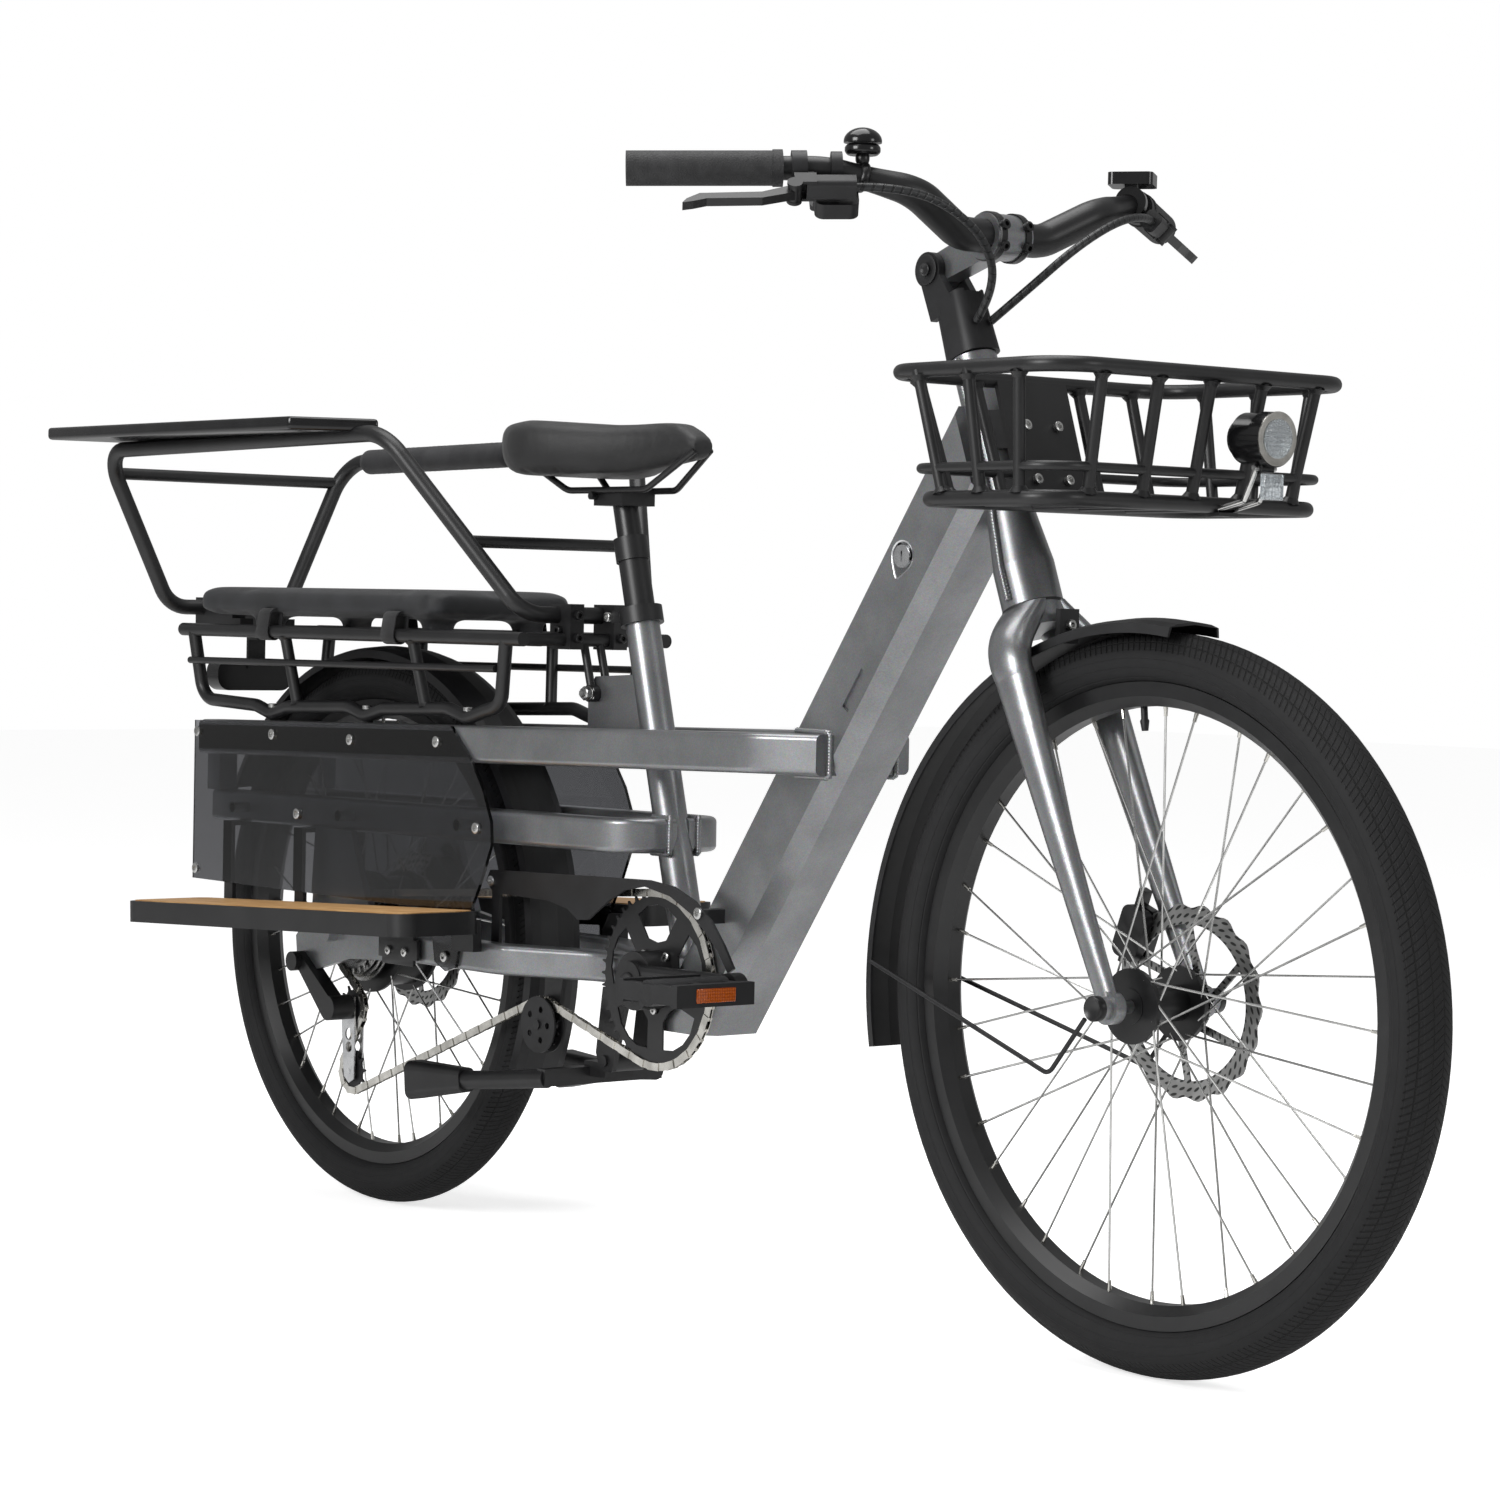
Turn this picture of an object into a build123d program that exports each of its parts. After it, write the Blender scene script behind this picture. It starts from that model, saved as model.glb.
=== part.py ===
"""Longtail electric cargo bicycle as an assembly of separate pieces, in millimetres.

The bicycle stands on z = 0 and rides toward +X, with its left side at +Y. The origin is on the
ground, below the middle of its overall length. The drive side is -Y.
"""

from build123d import *
import os
from math import atan2, cos, degrees, hypot, pi, radians, sin, sqrt, tan

os.makedirs("parts", exist_ok=True)

# ---------------------------------------------------------------- driving dimensions
wheelbase = 1220.0
front_axle_x = 625.0
front_tyre_radius = 334.5
rear_tyre_radius = 308.5
tyre_radius = 29.0            # half the width of the tyre
tyre_wall = 4.0
rim_depth = 22.0
rim_width = 36.0
rim_wall = 3.0
bead_drop = 51.6              # from the tread down to the bead seat
flange_height = 7.0
spoke_radius = 1.1
spoke_count = 36
seat_gap = 0.3                # clearance of a soft or curved piece to its seat
fit_gap = 0.05                # radial clearance of a running fit

head_angle = 69.2             # steering axis above the ground
fork_offset = 34.0
head_low = 392.0              # along the steering axis from the foot of the axle's perpendicular
head_length = 250.0
head_radius_low = 29.0
head_radius_top = 22.0
steerer_radius = 14.3
bearing_wall = 4.0

down_angle = 54.4
down_front_x = 240.0          # front face of the down tube at the height below
down_front_z = 538.0
down_depth = 80.0
down_width = 83.0
down_chamfer = 16.0
down_foot_z = 250.0

seat_angle = 75.0
bottom_bracket_x = -38.0
bottom_bracket_z = 302.0
bottom_bracket_radius = 21.0
bottom_bracket_width = 73.0
seat_tube_radius = 18.0
seat_tube_top_z = 678.0
outer_post_radius = 15.8
inner_post_radius = 13.2
saddle_top_z = 874.0

rail_y = 78.0                 # centre of each frame rail
rail_width = 30.0
rail_height = 40.0
rail_corner = 6.0
rail_top_z = 562.0            # top of the upper rails at their front bend
rail_slope = 1.2              # the upper rails fall to the rear by this angle
rail_rear_x = -856.0
mid_rail_z = 447.0
mid_rail_height = 36.0
mid_rail_y = 60.0
mid_rail_width = 26.0
rail_front_x = 219.0          # the upper rails end here with an upright cut
chainstay_height = 32.0

rack_tube_radius = 7.5
rack_top_z = 646.0
rack_low_z = 563.0
rack_y = 95.0
rack_rear_x = -885.0
rack_front_x = -215.0
rack_rod_radius = 4.0

hoop_tube_radius = 9.0
hoop_low_z = 672.0
hoop_top_z = 862.0
hoop_low_y = 82.0
hoop_top_y = 169.0
hoop_rear_x = -950.0

pad_top_z = 692.0
pad_low_z = 669.0
pad_half_width = 99.0
pad_rear_x = -876.0
pad_front_x = -372.0

panel_thickness = 4.0
panel_rear_x = -863.0
footboard_rear_x = -822.0
footboard_length = 560.0
footboard_outer_y = 214.0
footboard_inner_y = 104.0
footboard_z = 333.5            # at the middle of its length
footboard_slope = 2.5         # the footboards rise to the front by this angle

chain_line = 48.0
chainring_teeth = 44
cog_teeth = 22
chain_pitch = 12.7
crank_length = 170.0
idler_x = -232.0
idler_z = 238.0
idler_teeth = 13
jockey_teeth = 11
upper_jockey_x = -592.0
jockey_low_z = 151.0
jockey_high_z = 224.0

basket_low_z = 783.0
basket_top_z = 897.0
basket_tube_radius = 7.0
basket_rod_radius = 4.5

bar_clamp_x = 398.0
bar_clamp_z = 1034.0
stem_pivot_x = 318.0
stem_pivot_z = 1007.0
bar_radius = 11.1
bar_clamp_radius = 15.9
grip_end_x = 270.0
grip_end_y = 341.0
grip_end_z = 1078.0
grip_length = 130.0
grip_radius = 16.0
lever_droop = 42.0            # the levers hang this far below level

# ---------------------------------------------------------------- places worked out
rear_axle_x = front_axle_x - wheelbase
front_axle_z = front_tyre_radius
rear_axle_z = rear_tyre_radius
axis_up = Vector(-cos(radians(head_angle)), 0, sin(radians(head_angle)))
axis_front = Vector(sin(radians(head_angle)), 0, cos(radians(head_angle)))
axis_foot = Vector(front_axle_x, 0, front_axle_z) - axis_front * fork_offset
rail_outer_y = rail_y + rail_width / 2
crank_centre = Vector(bottom_bracket_x, 0, bottom_bracket_z)
seat_direction = Vector(-cos(radians(seat_angle)), 0, sin(radians(seat_angle)))
seat_top = crank_centre + seat_direction * ((seat_tube_top_z - bottom_bracket_z) / seat_direction.Z)


def rail_z(x):
    """Height of the upper rails' top face at a place along the bicycle."""
    return rail_top_z + min(0.0, x - 150.0) * tan(radians(rail_slope))


def steer(along, forward=0.0, y=0.0):
    """A point given along and ahead of the steering axis."""
    point = axis_foot + axis_up * along + axis_front * forward
    return Vector(point.X, y, point.Z)


# ---------------------------------------------------------------- shape helpers
written = {}


def save(name, shape):
    """Write one node, which holds one piece or one set of like pieces."""
    solids = shape.solids() if not isinstance(shape, (list, tuple)) else [s for i in shape for s in i.solids()]
    written[name] = Compound(children=list(solids)) if len(solids) > 1 else solids[0]
    export_step(written[name], f"parts/{name}.step")


def both(shape):
    """A piece and its mirror image on the other side of the bicycle."""
    return [shape, mirror(shape, about=Plane.XZ)]


def rod(start, end, radius):
    """A round bar between two points."""
    start, end = Vector(start), Vector(end)
    length = (end - start).length
    return Plane(origin=start, z_dir=end - start) * Cylinder(radius, length, align=(Align.CENTER, Align.CENTER, Align.MIN))


def disc(centre, radius, width, hole=0.0):
    """A round piece about an axis along Y, centred on a point."""
    body = Plane(origin=centre, z_dir=(0, 1, 0)) * Cylinder(radius, width)
    if hole:
        body = body - Plane(origin=centre, z_dir=(0, 1, 0)) * Cylinder(hole, width * 2)
    return body


def block(x0, x1, y0, y1, z0, z1):
    """A box between two corners."""
    return Pos((x0 + x1) / 2, (y0 + y1) / 2, (z0 + z1) / 2) * Box(abs(x1 - x0), abs(y1 - y0), abs(z1 - z0))


def slab(outline, y0, y1):
    """A closed outline of (x, z) points, given thickness from y0 to y1."""
    face = make_face(Polyline(*[(x, y0, z) for x, z in outline], close=True))
    return extrude(face, amount=abs(y1 - y0), dir=(0, 1 if y1 > y0 else -1, 0))


def bend_path(points, bend):
    """A path of straight runs joined by arcs, with one bend radius or a list."""
    if len(points) == 2:
        return Line(*points)
    return FilletPolyline(*points, radius=bend)


def pipe(points, radius, bend):
    """A bent round tube along its centre line."""
    path = bend_path(points, bend)
    return sweep(Plane(origin=path @ 0, z_dir=path % 0) * Circle(radius), path=path)


def box_tube(points, width, height, corner, bend):
    """A bent rectangular tube, its width kept level."""
    path = bend_path(points, bend)
    tangent = path % 0
    plane = Plane(origin=path @ 0, x_dir=Vector(0, 0, 1).cross(tangent), z_dir=tangent)
    return sweep(plane * RectangleRounded(width, height, corner), path=path)


def ring_of(profile_points, centre):
    """A ring turned about an axis along Y from (radius, y) points."""
    cx, cz = centre
    face = make_face(Polyline(*[(cx, y, cz + r) for r, y in profile_points], close=True))
    return revolve(face, axis=Axis((cx, 0, cz), (0, 1, 0)))


# ---------------------------------------------------------------- wheels
def tyre(axle, outer_radius):
    """An open-bellied tyre whose beads sit between the rim's flanges."""
    bead_r = outer_radius - bead_drop
    centre_r = outer_radius - tyre_radius
    cx, cz = axle
    lip_r = bead_r + flange_height + seat_gap
    lip_y = rim_width / 2 - rim_wall - seat_gap
    foot_r = bead_r + seat_gap

    def at(radius, y):
        return (cx, y, cz + radius)

    skin_points = [(lip_r, -lip_y - 1.5), (centre_r - 2, -tyre_radius), (centre_r + 17, -tyre_radius + 6),
                   (outer_radius - 4, -tyre_radius + 17), (outer_radius, 0)]
    skin_points += [(r, -y) for r, y in skin_points[-2::-1]]
    belly_points = [(lip_r, -lip_y + tyre_wall), (centre_r - 2, -tyre_radius + tyre_wall),
                    (outer_radius - 7 - tyre_wall, -tyre_radius + 18), (outer_radius - tyre_wall - 2, 0)]
    belly_points += [(r, -y) for r, y in belly_points[-2::-1]]
    outline = []
    for points, knots in ((skin_points, (0, 1, 2, 4, 6, 7, 8)), (belly_points, (0, 1, 2, 3, 4, 5, 6))):
        for first in (0, 2, 4):
            outline.append(ThreePointArc(*[at(*points[knots[first + step]]) for step in (0, 1, 2)]))
    for side in (-1, 1):
        outline.append(Polyline(at(lip_r, side * (lip_y + 1.5)), at(lip_r, side * lip_y), at(foot_r, side * lip_y),
                                at(foot_r, side * (lip_y - tyre_wall)), at(lip_r, side * (lip_y - tyre_wall))))
    return revolve(make_face(outline), axis=Axis((cx, 0, cz), (0, 1, 0)))


def rim(axle, outer_radius):
    """A double-wall rim with a tyre well between its flanges."""
    bead_r = outer_radius - bead_drop
    edge_r = bead_r + flange_height
    half = rim_width / 2
    well = 4.0
    inner_r = edge_r - rim_depth
    profile = [(edge_r, -half), (edge_r, -half + rim_wall), (bead_r - well, -half + rim_wall),
               (bead_r - well, half - rim_wall), (edge_r, half - rim_wall), (edge_r, half),
               (bead_r - 6, half), (inner_r, half - 10), (inner_r, -half + 10), (bead_r - 6, -half)]
    return ring_of(profile, axle)


def spokes(axle, outer_radius, flange_radius, flange_y, turn, cross):
    """Crossed spokes from the hub flanges to the inner face of the rim."""
    end_r = outer_radius - bead_drop + flange_height - rim_depth + 2.0
    pieces = []
    for index in range(spoke_count):
        rim_angle = radians(turn + 360 / spoke_count * index)
        side = 1 if index % 2 else -1
        lean = cross if index % 4 < 2 else -cross
        hub_angle = rim_angle + radians(lean)
        layer = 1.5 if index % 4 < 2 else -1.5
        start = Vector(axle[0] + flange_radius * cos(hub_angle), side * (flange_y + layer), axle[1] + flange_radius * sin(hub_angle))
        end = Vector(axle[0] + end_r * cos(rim_angle), side * 4.0, axle[1] + end_r * sin(rim_angle))
        length = (end - start).length
        section = Plane(origin=start, z_dir=end - start) * RegularPolygon(spoke_radius, 6)
        pieces.append(extrude(section, amount=length, dir=end - start))
    return pieces


def wavy_rotor(axle, y, radius, hub_radius, waves, thickness):
    """A brake disc with a scalloped edge, cut-outs and slanted arms."""
    points = []
    steps = waves * 6
    for step in range(steps):
        angle = 2 * pi * step / steps
        reach = radius - 2.2 + 2.2 * cos(waves * angle)
        points.append((axle[0] + reach * cos(angle), axle[1] + reach * sin(angle)))
    plate = slab(points, y - thickness / 2, y + thickness / 2)
    plate = plate - disc((axle[0], y, axle[1]), radius - 19, thickness * 4)
    for arm in range(6):
        angle = radians(60 * arm)
        outer = angle + radians(32)
        a = Vector(axle[0] + (hub_radius + 3) * cos(angle), y, axle[1] + (hub_radius + 3) * sin(angle))
        b = Vector(axle[0] + (radius - 15) * cos(outer), y, axle[1] + (radius - 15) * sin(outer))
        across = (b - a).cross(Vector(0, 1, 0)).normalized() * 3.5
        plate = plate + slab([((a + across).X, (a + across).Z), ((b + across).X, (b + across).Z),
                              ((b - across).X, (b - across).Z), ((a - across).X, (a - across).Z)],
                             y - thickness / 2, y + thickness / 2)
    return plate + disc((axle[0], y, axle[1]), hub_radius + 8, thickness, hub_radius)


front_axle = (front_axle_x, front_axle_z)
rear_axle = (rear_axle_x, rear_axle_z)
axle_radius = 6.0
front_hub_radius = 16.0
front_flange_radius = 29.0
front_flange_y = 30.0
rotor_radius = 90.0
rotor_thickness = 2.0
front_rotor_y = 42.0
motor_radius = 62.0
motor_half = 30.0
rear_rotor_y = 46.0


def front_hub():
    """Hub shell with two spoke flanges, the disc's boss and the axle bore."""
    hub = disc((front_axle_x, 0, front_axle_z), front_hub_radius, 2 * front_flange_y + 6)
    for side in (-1, 1):
        hub = hub + disc((front_axle_x, side * front_flange_y, front_axle_z), front_flange_radius + 5, 5)
    boss = front_rotor_y - rotor_thickness / 2 - front_flange_y
    hub = hub + disc((front_axle_x, front_flange_y + boss / 2, front_axle_z), 24, boss)
    return hub - disc((front_axle_x, 0, front_axle_z), axle_radius + fit_gap, 200)


def motor_hub():
    """Drum of the hub motor with its flanges and the seat of the freewheel."""
    place = (rear_axle_x, 0, rear_axle_z)
    hub = disc(place, motor_radius, 2 * motor_half - 8)
    hub = hub + disc(place, motor_radius - 14, 2 * motor_half + 6)
    for side in (-1, 1):
        hub = hub + disc((rear_axle_x, side * (motor_half - 6), rear_axle_z), motor_radius + 7, 4)
    hub = hub + disc((rear_axle_x, (motor_half + rear_rotor_y - rotor_thickness / 2) / 2, rear_axle_z), 24, rear_rotor_y - rotor_thickness / 2 - motor_half)
    return hub - disc(place, axle_radius + fit_gap, 300)


save("front_tyre", tyre(front_axle, front_tyre_radius))
save("rear_tyre", tyre(rear_axle, rear_tyre_radius))
save("front_rim", rim(front_axle, front_tyre_radius))
save("rear_rim", rim(rear_axle, rear_tyre_radius))
save("front_spokes", spokes(front_axle, front_tyre_radius, front_flange_radius, front_flange_y, 0.1, 58))
save("rear_spokes", spokes(rear_axle, rear_tyre_radius, motor_radius + 3, motor_half - 6, 5.6, 28))
save("front_hub", front_hub())
save("motor_hub", motor_hub())
save("front_rotor", wavy_rotor(front_axle, front_rotor_y, rotor_radius, 20, 18, rotor_thickness))
save("rear_rotor", wavy_rotor(rear_axle, rear_rotor_y, rotor_radius, 20, 18, rotor_thickness))


# ---------------------------------------------------------------- frame
down_plane = Plane(origin=(down_front_x, 0, down_front_z), x_dir=(0, 1, 0),
                   z_dir=(cos(radians(down_angle)), 0, sin(radians(down_angle))))
battery_width = 54.0
battery_depth = 52.0
battery_low = -186.0          # along the down tube from the height of down_front_z
battery_high = 242.0
battery_proud = 1.5
battery_gap = 0.4


def head_envelope():
    """The tapered outer form of the head tube."""
    low = steer(head_low)
    skirt = 40.0
    foot = Plane(origin=low, z_dir=axis_up) * Cylinder(head_radius_low, skirt, align=(Align.CENTER, Align.CENTER, Align.MIN))
    cone = Plane(origin=steer(head_low + skirt), z_dir=axis_up) * Cone(
        head_radius_low, head_radius_top, 60, align=(Align.CENTER, Align.CENTER, Align.MIN))
    top = Plane(origin=steer(head_low + skirt + 60), z_dir=axis_up) * Cylinder(
        head_radius_top, head_length - skirt - 60, align=(Align.CENTER, Align.CENTER, Align.MIN))
    return foot + cone + top


def head_tube():
    """Head tube with a cup for a bearing at each end."""
    bore = head_radius_top - bearing_wall
    tube = head_envelope() - rod(steer(head_low - 1), steer(head_low + head_length + 1), bore)
    for foot in (head_low, head_low + head_length - 12):
        cup = rod(steer(foot), steer(foot + 12), bore)
        tube = tube + (cup - rod(steer(foot - 1), steer(foot + 13), steerer_radius + fit_gap))
    return tube


def down_envelope():
    """The chamfered box form of the down tube, cut level at its foot."""
    half = down_width / 2
    rear_round = 7.0
    section = Polyline((-half + down_chamfer, 0), (half - down_chamfer, 0), (half, down_chamfer),
                       (half, down_depth - rear_round), (half - rear_round, down_depth),
                       (-half + rear_round, down_depth), (-half, down_depth - rear_round), (-half, down_chamfer), close=True)
    long = extrude(down_plane * Pos(0, 0, -420) * make_face(section), amount=900,
                   dir=(cos(radians(down_angle)), 0, sin(radians(down_angle))))
    long = long - block(-400, 900, -100, 100, -400, down_foot_z)
    behind = Plane(origin=axis_foot, z_dir=axis_front * -1)
    return split(long, bisect_by=behind, keep=Keep.TOP)


def battery_box(gap):
    """The battery's block in the down tube, grown by a gap on each side."""
    return down_plane * Pos(0, down_depth - battery_depth / 2 + battery_proud / 2, (battery_low + battery_high) / 2) * Box(
        battery_width + 2 * gap, battery_depth + battery_proud + 2 * gap, battery_high - battery_low + 2 * gap)


lock_along = 205.0
lock_across = 52.0
lock_radius = 11.0
lock_centre = down_plane.from_local_coords((-down_width / 2, lock_across, lock_along))


def down_tube():
    """Down tube with the battery's pocket, the lock's bore and the cable port."""
    tube = down_envelope() - head_envelope() - battery_box(battery_gap)
    tube = tube - rod(crank_centre, seat_top, seat_tube_radius) - disc(crank_centre, bottom_bracket_radius, 120)
    tube = tube - disc(lock_centre, lock_radius + fit_gap, 24)
    port = down_plane * Pos(-down_width / 2, down_chamfer + 14, 62) * Box(6, 10, 46)
    return tube - port


save("front_frame", head_tube() + down_tube())
save("battery", fillet(battery_box(0).edges().filter_by(Axis.Y), 3))
save("battery_lock", disc(lock_centre + Vector(0, 4.5, 0), lock_radius, 12)
     - block(lock_centre.X - 1, lock_centre.X + 1, lock_centre.Y - 5, lock_centre.Y, lock_centre.Z - 5, lock_centre.Z + 5))


spindle_radius = 12.0
bridge_front_x = -182.0
gusset_rear_x = -220.0
gusset_top_z = 612.0


def seat_point(height):
    """A point on the seat tube's axis at a height."""
    return crank_centre + seat_direction * ((height - bottom_bracket_z) / seat_direction.Z)


def seat_tube():
    """Seat tube with the bottom bracket shell and the rear gusset."""
    shell = disc(crank_centre, bottom_bracket_radius, bottom_bracket_width)
    tube = rod(crank_centre, seat_top, seat_tube_radius) + shell
    front = seat_point(gusset_top_z).X - 8
    foot = seat_point(rail_z(bridge_front_x)).X - 8
    low = rail_z(bridge_front_x) - rail_height + 4
    gusset = slab([(gusset_rear_x, low + 20), (gusset_rear_x + 26, low), (foot, low), (front, gusset_top_z),
                   (gusset_rear_x + 12, gusset_top_z - 4), (gusset_rear_x, gusset_top_z - 18)], -5, 5)
    tube = tube + gusset
    tube = tube - rod(seat_point(360), seat_point(seat_tube_top_z + 5), outer_post_radius + fit_gap)
    return tube - disc(crank_centre, spindle_radius + fit_gap, 120)


seat_tube_solid = seat_tube()
save("seat_tube", seat_tube_solid)


def top_rail():
    """One upper rail, parallel to the bicycle and bent in to the down tube."""
    low = rail_z(rail_rear_x) - rail_height / 2
    level = rail_top_z - rail_height / 2
    rail = box_tube([(rail_rear_x, -rail_y, low), (150, -rail_y, level), (246, -30, level)],
                    rail_width, rail_height, rail_corner, 60)
    return rail - down_envelope() - block(100, 400, -24, 200, 400, 700) - block(rail_front_x, 400, -200, 200, 400, 700)


panel_boss_places = ((-780.0, 441.0), (-560.0, 443.0), (-330.0, 445.0))


def mid_rail():
    """One middle rail, bent in to the seat tube, with the bosses that hold a side panel."""
    turn_x = seat_point(mid_rail_z).X + 4
    rail = box_tube([(rail_rear_x, -mid_rail_y, mid_rail_z - 6), (turn_x, -mid_rail_y, mid_rail_z), (turn_x, -8, mid_rail_z)],
                    mid_rail_width, mid_rail_height, rail_corner, 42)
    for x, z in panel_boss_places:
        rail = rail + rod((x, -mid_rail_y, z), (x, -rail_outer_y, z), 6)
    return rail - rod(crank_centre, seat_top, seat_tube_radius)


chainstay_rear_x = -450.0
dropout_inner_y = 67.0
dropout_thickness = 8.0


def chainstay():
    """One chainstay from the bottom bracket shell out past the tyre."""
    z = bottom_bracket_z + 4
    stay = box_tube([(chainstay_rear_x, -rail_y, z), (-262, -rail_y, z), (-152, -27, z), (-48, -27, z)],
                    rail_width, chainstay_height, rail_corner, 60)
    return stay - rod(crank_centre, seat_top, seat_tube_radius) - disc(crank_centre, bottom_bracket_radius, 120)


post_x = rail_rear_x + 14


def dropout():
    """Plate at the rear axle with the stay that carries it from the middle rail."""
    y = -dropout_inner_y - dropout_thickness
    low_rail = mid_rail_z - mid_rail_height / 2 - 4
    plate = slab([(chainstay_rear_x, 288), (chainstay_rear_x, 324), (-520, 334), (-560, low_rail + 1), (-632, low_rail + 1),
                  (-640, 330), (-672, 300), (-668, 268), (-640, 262), (-560, 282)], y, y + dropout_thickness)
    nut = disc((rear_axle_x, y - 6, rear_axle_z), 10, 12)
    return plate + nut - mid_rail()


def tail_bridges():
    """Cross pieces between the rails, and the rear posts."""
    pieces = []
    inner = rail_y - rail_width / 2
    rear_low = rail_z(post_x) - rail_height
    pieces.append(block(post_x - 10, post_x + 4, -inner, inner, rear_low + 8, rear_low + 32))
    top = rail_z(bridge_front_x)
    bridge = block(bridge_front_x - 36, bridge_front_x - 6, -inner, inner, top - 34, top - 10)
    pieces.append(bridge - seat_tube_solid)
    front_top = rail_z(-330)
    pieces.append(block(-345, -325, -inner, inner, front_top - 32, front_top - 10))
    mid_top = mid_rail_z + mid_rail_height / 2
    for side in (-1, 1):
        middle = side * (rail_y + mid_rail_y) / 2
        pieces.append(block(post_x - 13, post_x + 13, middle - 12, middle + 12, mid_top - 6, rear_low))
    return pieces


top_rails = both(top_rail())
mid_rails = both(mid_rail())
chainstays = both(chainstay())
save("top_rails", top_rails)
rear_axle_rod = disc((rear_axle_x, 0, rear_axle_z), axle_radius, 2 * (dropout_inner_y + dropout_thickness))
stay_pair = rear_axle_rod
for stay, end in zip(chainstays, both(dropout())):
    stay_pair = stay_pair + stay + end
save("chainstays", stay_pair)
bridges = [piece - mid_rails[0] - mid_rails[1] - top_rails[0] - top_rails[1] for piece in tail_bridges()]
rear_frame = mid_rails[0] + mid_rails[1]
for bridge in bridges[:1] + bridges[3:]:
    rear_frame = rear_frame + bridge
save("rear_frame", [rear_frame, bridges[1], bridges[2]])

# ---------------------------------------------------------------- seat
post_low = seat_point(440)
collar_z = 743.0


def seat_clamp():
    """Collar round the top of the seat tube with a pinch bolt behind."""
    low, high = seat_point(seat_tube_top_z - 14), seat_point(seat_tube_top_z + 3)
    ring = rod(low, high, seat_tube_radius + 5) - rod(low - seat_direction * 5, high + seat_direction * 5, outer_post_radius + fit_gap)
    ring = ring - rod(seat_point(640), seat_top, seat_tube_radius)
    ears = block(low.X - 42, low.X - 18, -9, 9, low.Z + 1, low.Z + 14) - rod(seat_point(640), seat_point(720), seat_tube_radius + 1)
    return ring + ears


def post():
    """Outer seat post with its collar, bored for the sprung inner post."""
    body = rod(post_low, seat_point(730), outer_post_radius)
    body = body + rod(seat_point(730), seat_point(754), outer_post_radius + 2.2)
    return body - rod(seat_point(600), seat_point(760), inner_post_radius + fit_gap)


def sprung_post():
    """Inner post with the saddle clamp and the two rails it holds."""
    body = rod(seat_point(640), seat_point(792), inner_post_radius)
    head = seat_point(796)
    body = body + block(head.X - 24, head.X + 24, -22, 22, head.Z - 8, head.Z + 10)
    body = body + rod((head.X - 20, -30, head.Z + 2), (head.X - 20, 30, head.Z + 2), 4)
    rails = []
    for side in (-1, 1):
        rail = pipe([(head.X - 128, side * 46, saddle_top_z - 30), (head.X - 62, side * 28, head.Z + 8),
                     (head.X + 62, side * 20, head.Z + 8), (head.X + 130, side * 10, saddle_top_z - 30)], 3.5, 24)
        rails.append(rail)
    return body + rails[0] + rails[1]


def saddle():
    """Padded saddle: a broad tail drawn in to a long nose."""
    tail_x, nose_x = -312.0, -34.0
    base = saddle_top_z - 34
    sections = []
    for x, half, low, high in ((tail_x, 30, base + 16, saddle_top_z - 6), (tail_x + 26, 78, base, saddle_top_z),
                               (tail_x + 70, 86, base - 2, saddle_top_z), (tail_x + 150, 52, base, saddle_top_z - 5),
                               (tail_x + 215, 25, base + 4, saddle_top_z - 4), (nose_x, 14, base + 8, saddle_top_z - 16)):
        centre = (low + high) / 2
        sections.append(Plane(origin=(x, 0, centre), x_dir=(0, 1, 0), z_dir=(1, 0, 0))
                        * RectangleRounded(2 * half, high - low, min(half, (high - low) / 2) * 0.85))
    return loft(sections)


seat_clamp_solid = seat_clamp()
save("seat_post", post())
save("sprung_post", sprung_post())
save("saddle", saddle() - sprung_post())

# ---------------------------------------------------------------- fork and front fender
axle_cap = 11.0
blade_foot_y = 58.0


blade_sections = ((391, 0, 10, 28, 18), (370, 2, 30, 26, 22), (345, 6, 49, 24, 17), (318, 9, 53, 22, 14.5), (170, 20, 56, 16, 11),
                  (2, 34, 58, 12, 7))


def fork():
    """Rigid fork: steerer, bulged crown and two tapering blades on a fixed axle."""
    body = rod(steer(head_low - 10), steer(head_low + head_length + 48), steerer_radius)
    body = body + rod(steer(head_low - 24), steer(head_low - seat_gap), head_radius_low)
    for side in (-1, 1):
        sections = []
        for along, forward, y, half_ahead, half_across in blade_sections:
            plane = Plane(origin=steer(along, forward, side * y), x_dir=axis_front, z_dir=axis_up)
            sections.append(plane * Ellipse(half_ahead, half_across))
        body = body + loft(sections[:4]) + loft(sections[3:])
        foot = disc((front_axle_x, side * blade_foot_y, front_axle_z), 15, 12)
        body = body + foot
        body = body + disc((front_axle_x, side * (blade_foot_y + 12), front_axle_z), axle_cap, 12)
    body = body + disc((front_axle_x, 0, front_axle_z), axle_radius, 2 * blade_foot_y)
    return body


fork_solid = fork()
save("fork", fork_solid)


def caliper(centre, y, turn):
    """Disc caliper with the slot that the rotor runs in."""
    body = Box(50, 23, 32)
    body = fillet(body.edges().filter_by(Axis.Y), 9)
    body = body + Pos(0, 10, 14) * Box(74, 9, 9)
    body = body - Pos(0, 0, -6) * Box(60, rotor_thickness + 1.6, 32)
    placed = Pos(centre.X, y, centre.Z) * Rot(0, turn, 0) * body
    return placed


save("front_caliper", caliper(steer(78, -8), front_rotor_y, 180 + 90 - head_angle + 90) - fork_solid)
save("rear_caliper", caliper(Vector(rear_axle_x + 52, 0, rear_axle_z + 62), rear_rotor_y, 40)
     - chainstays[1] - mid_rails[1] - mirror(dropout(), about=Plane.XZ))


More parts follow.
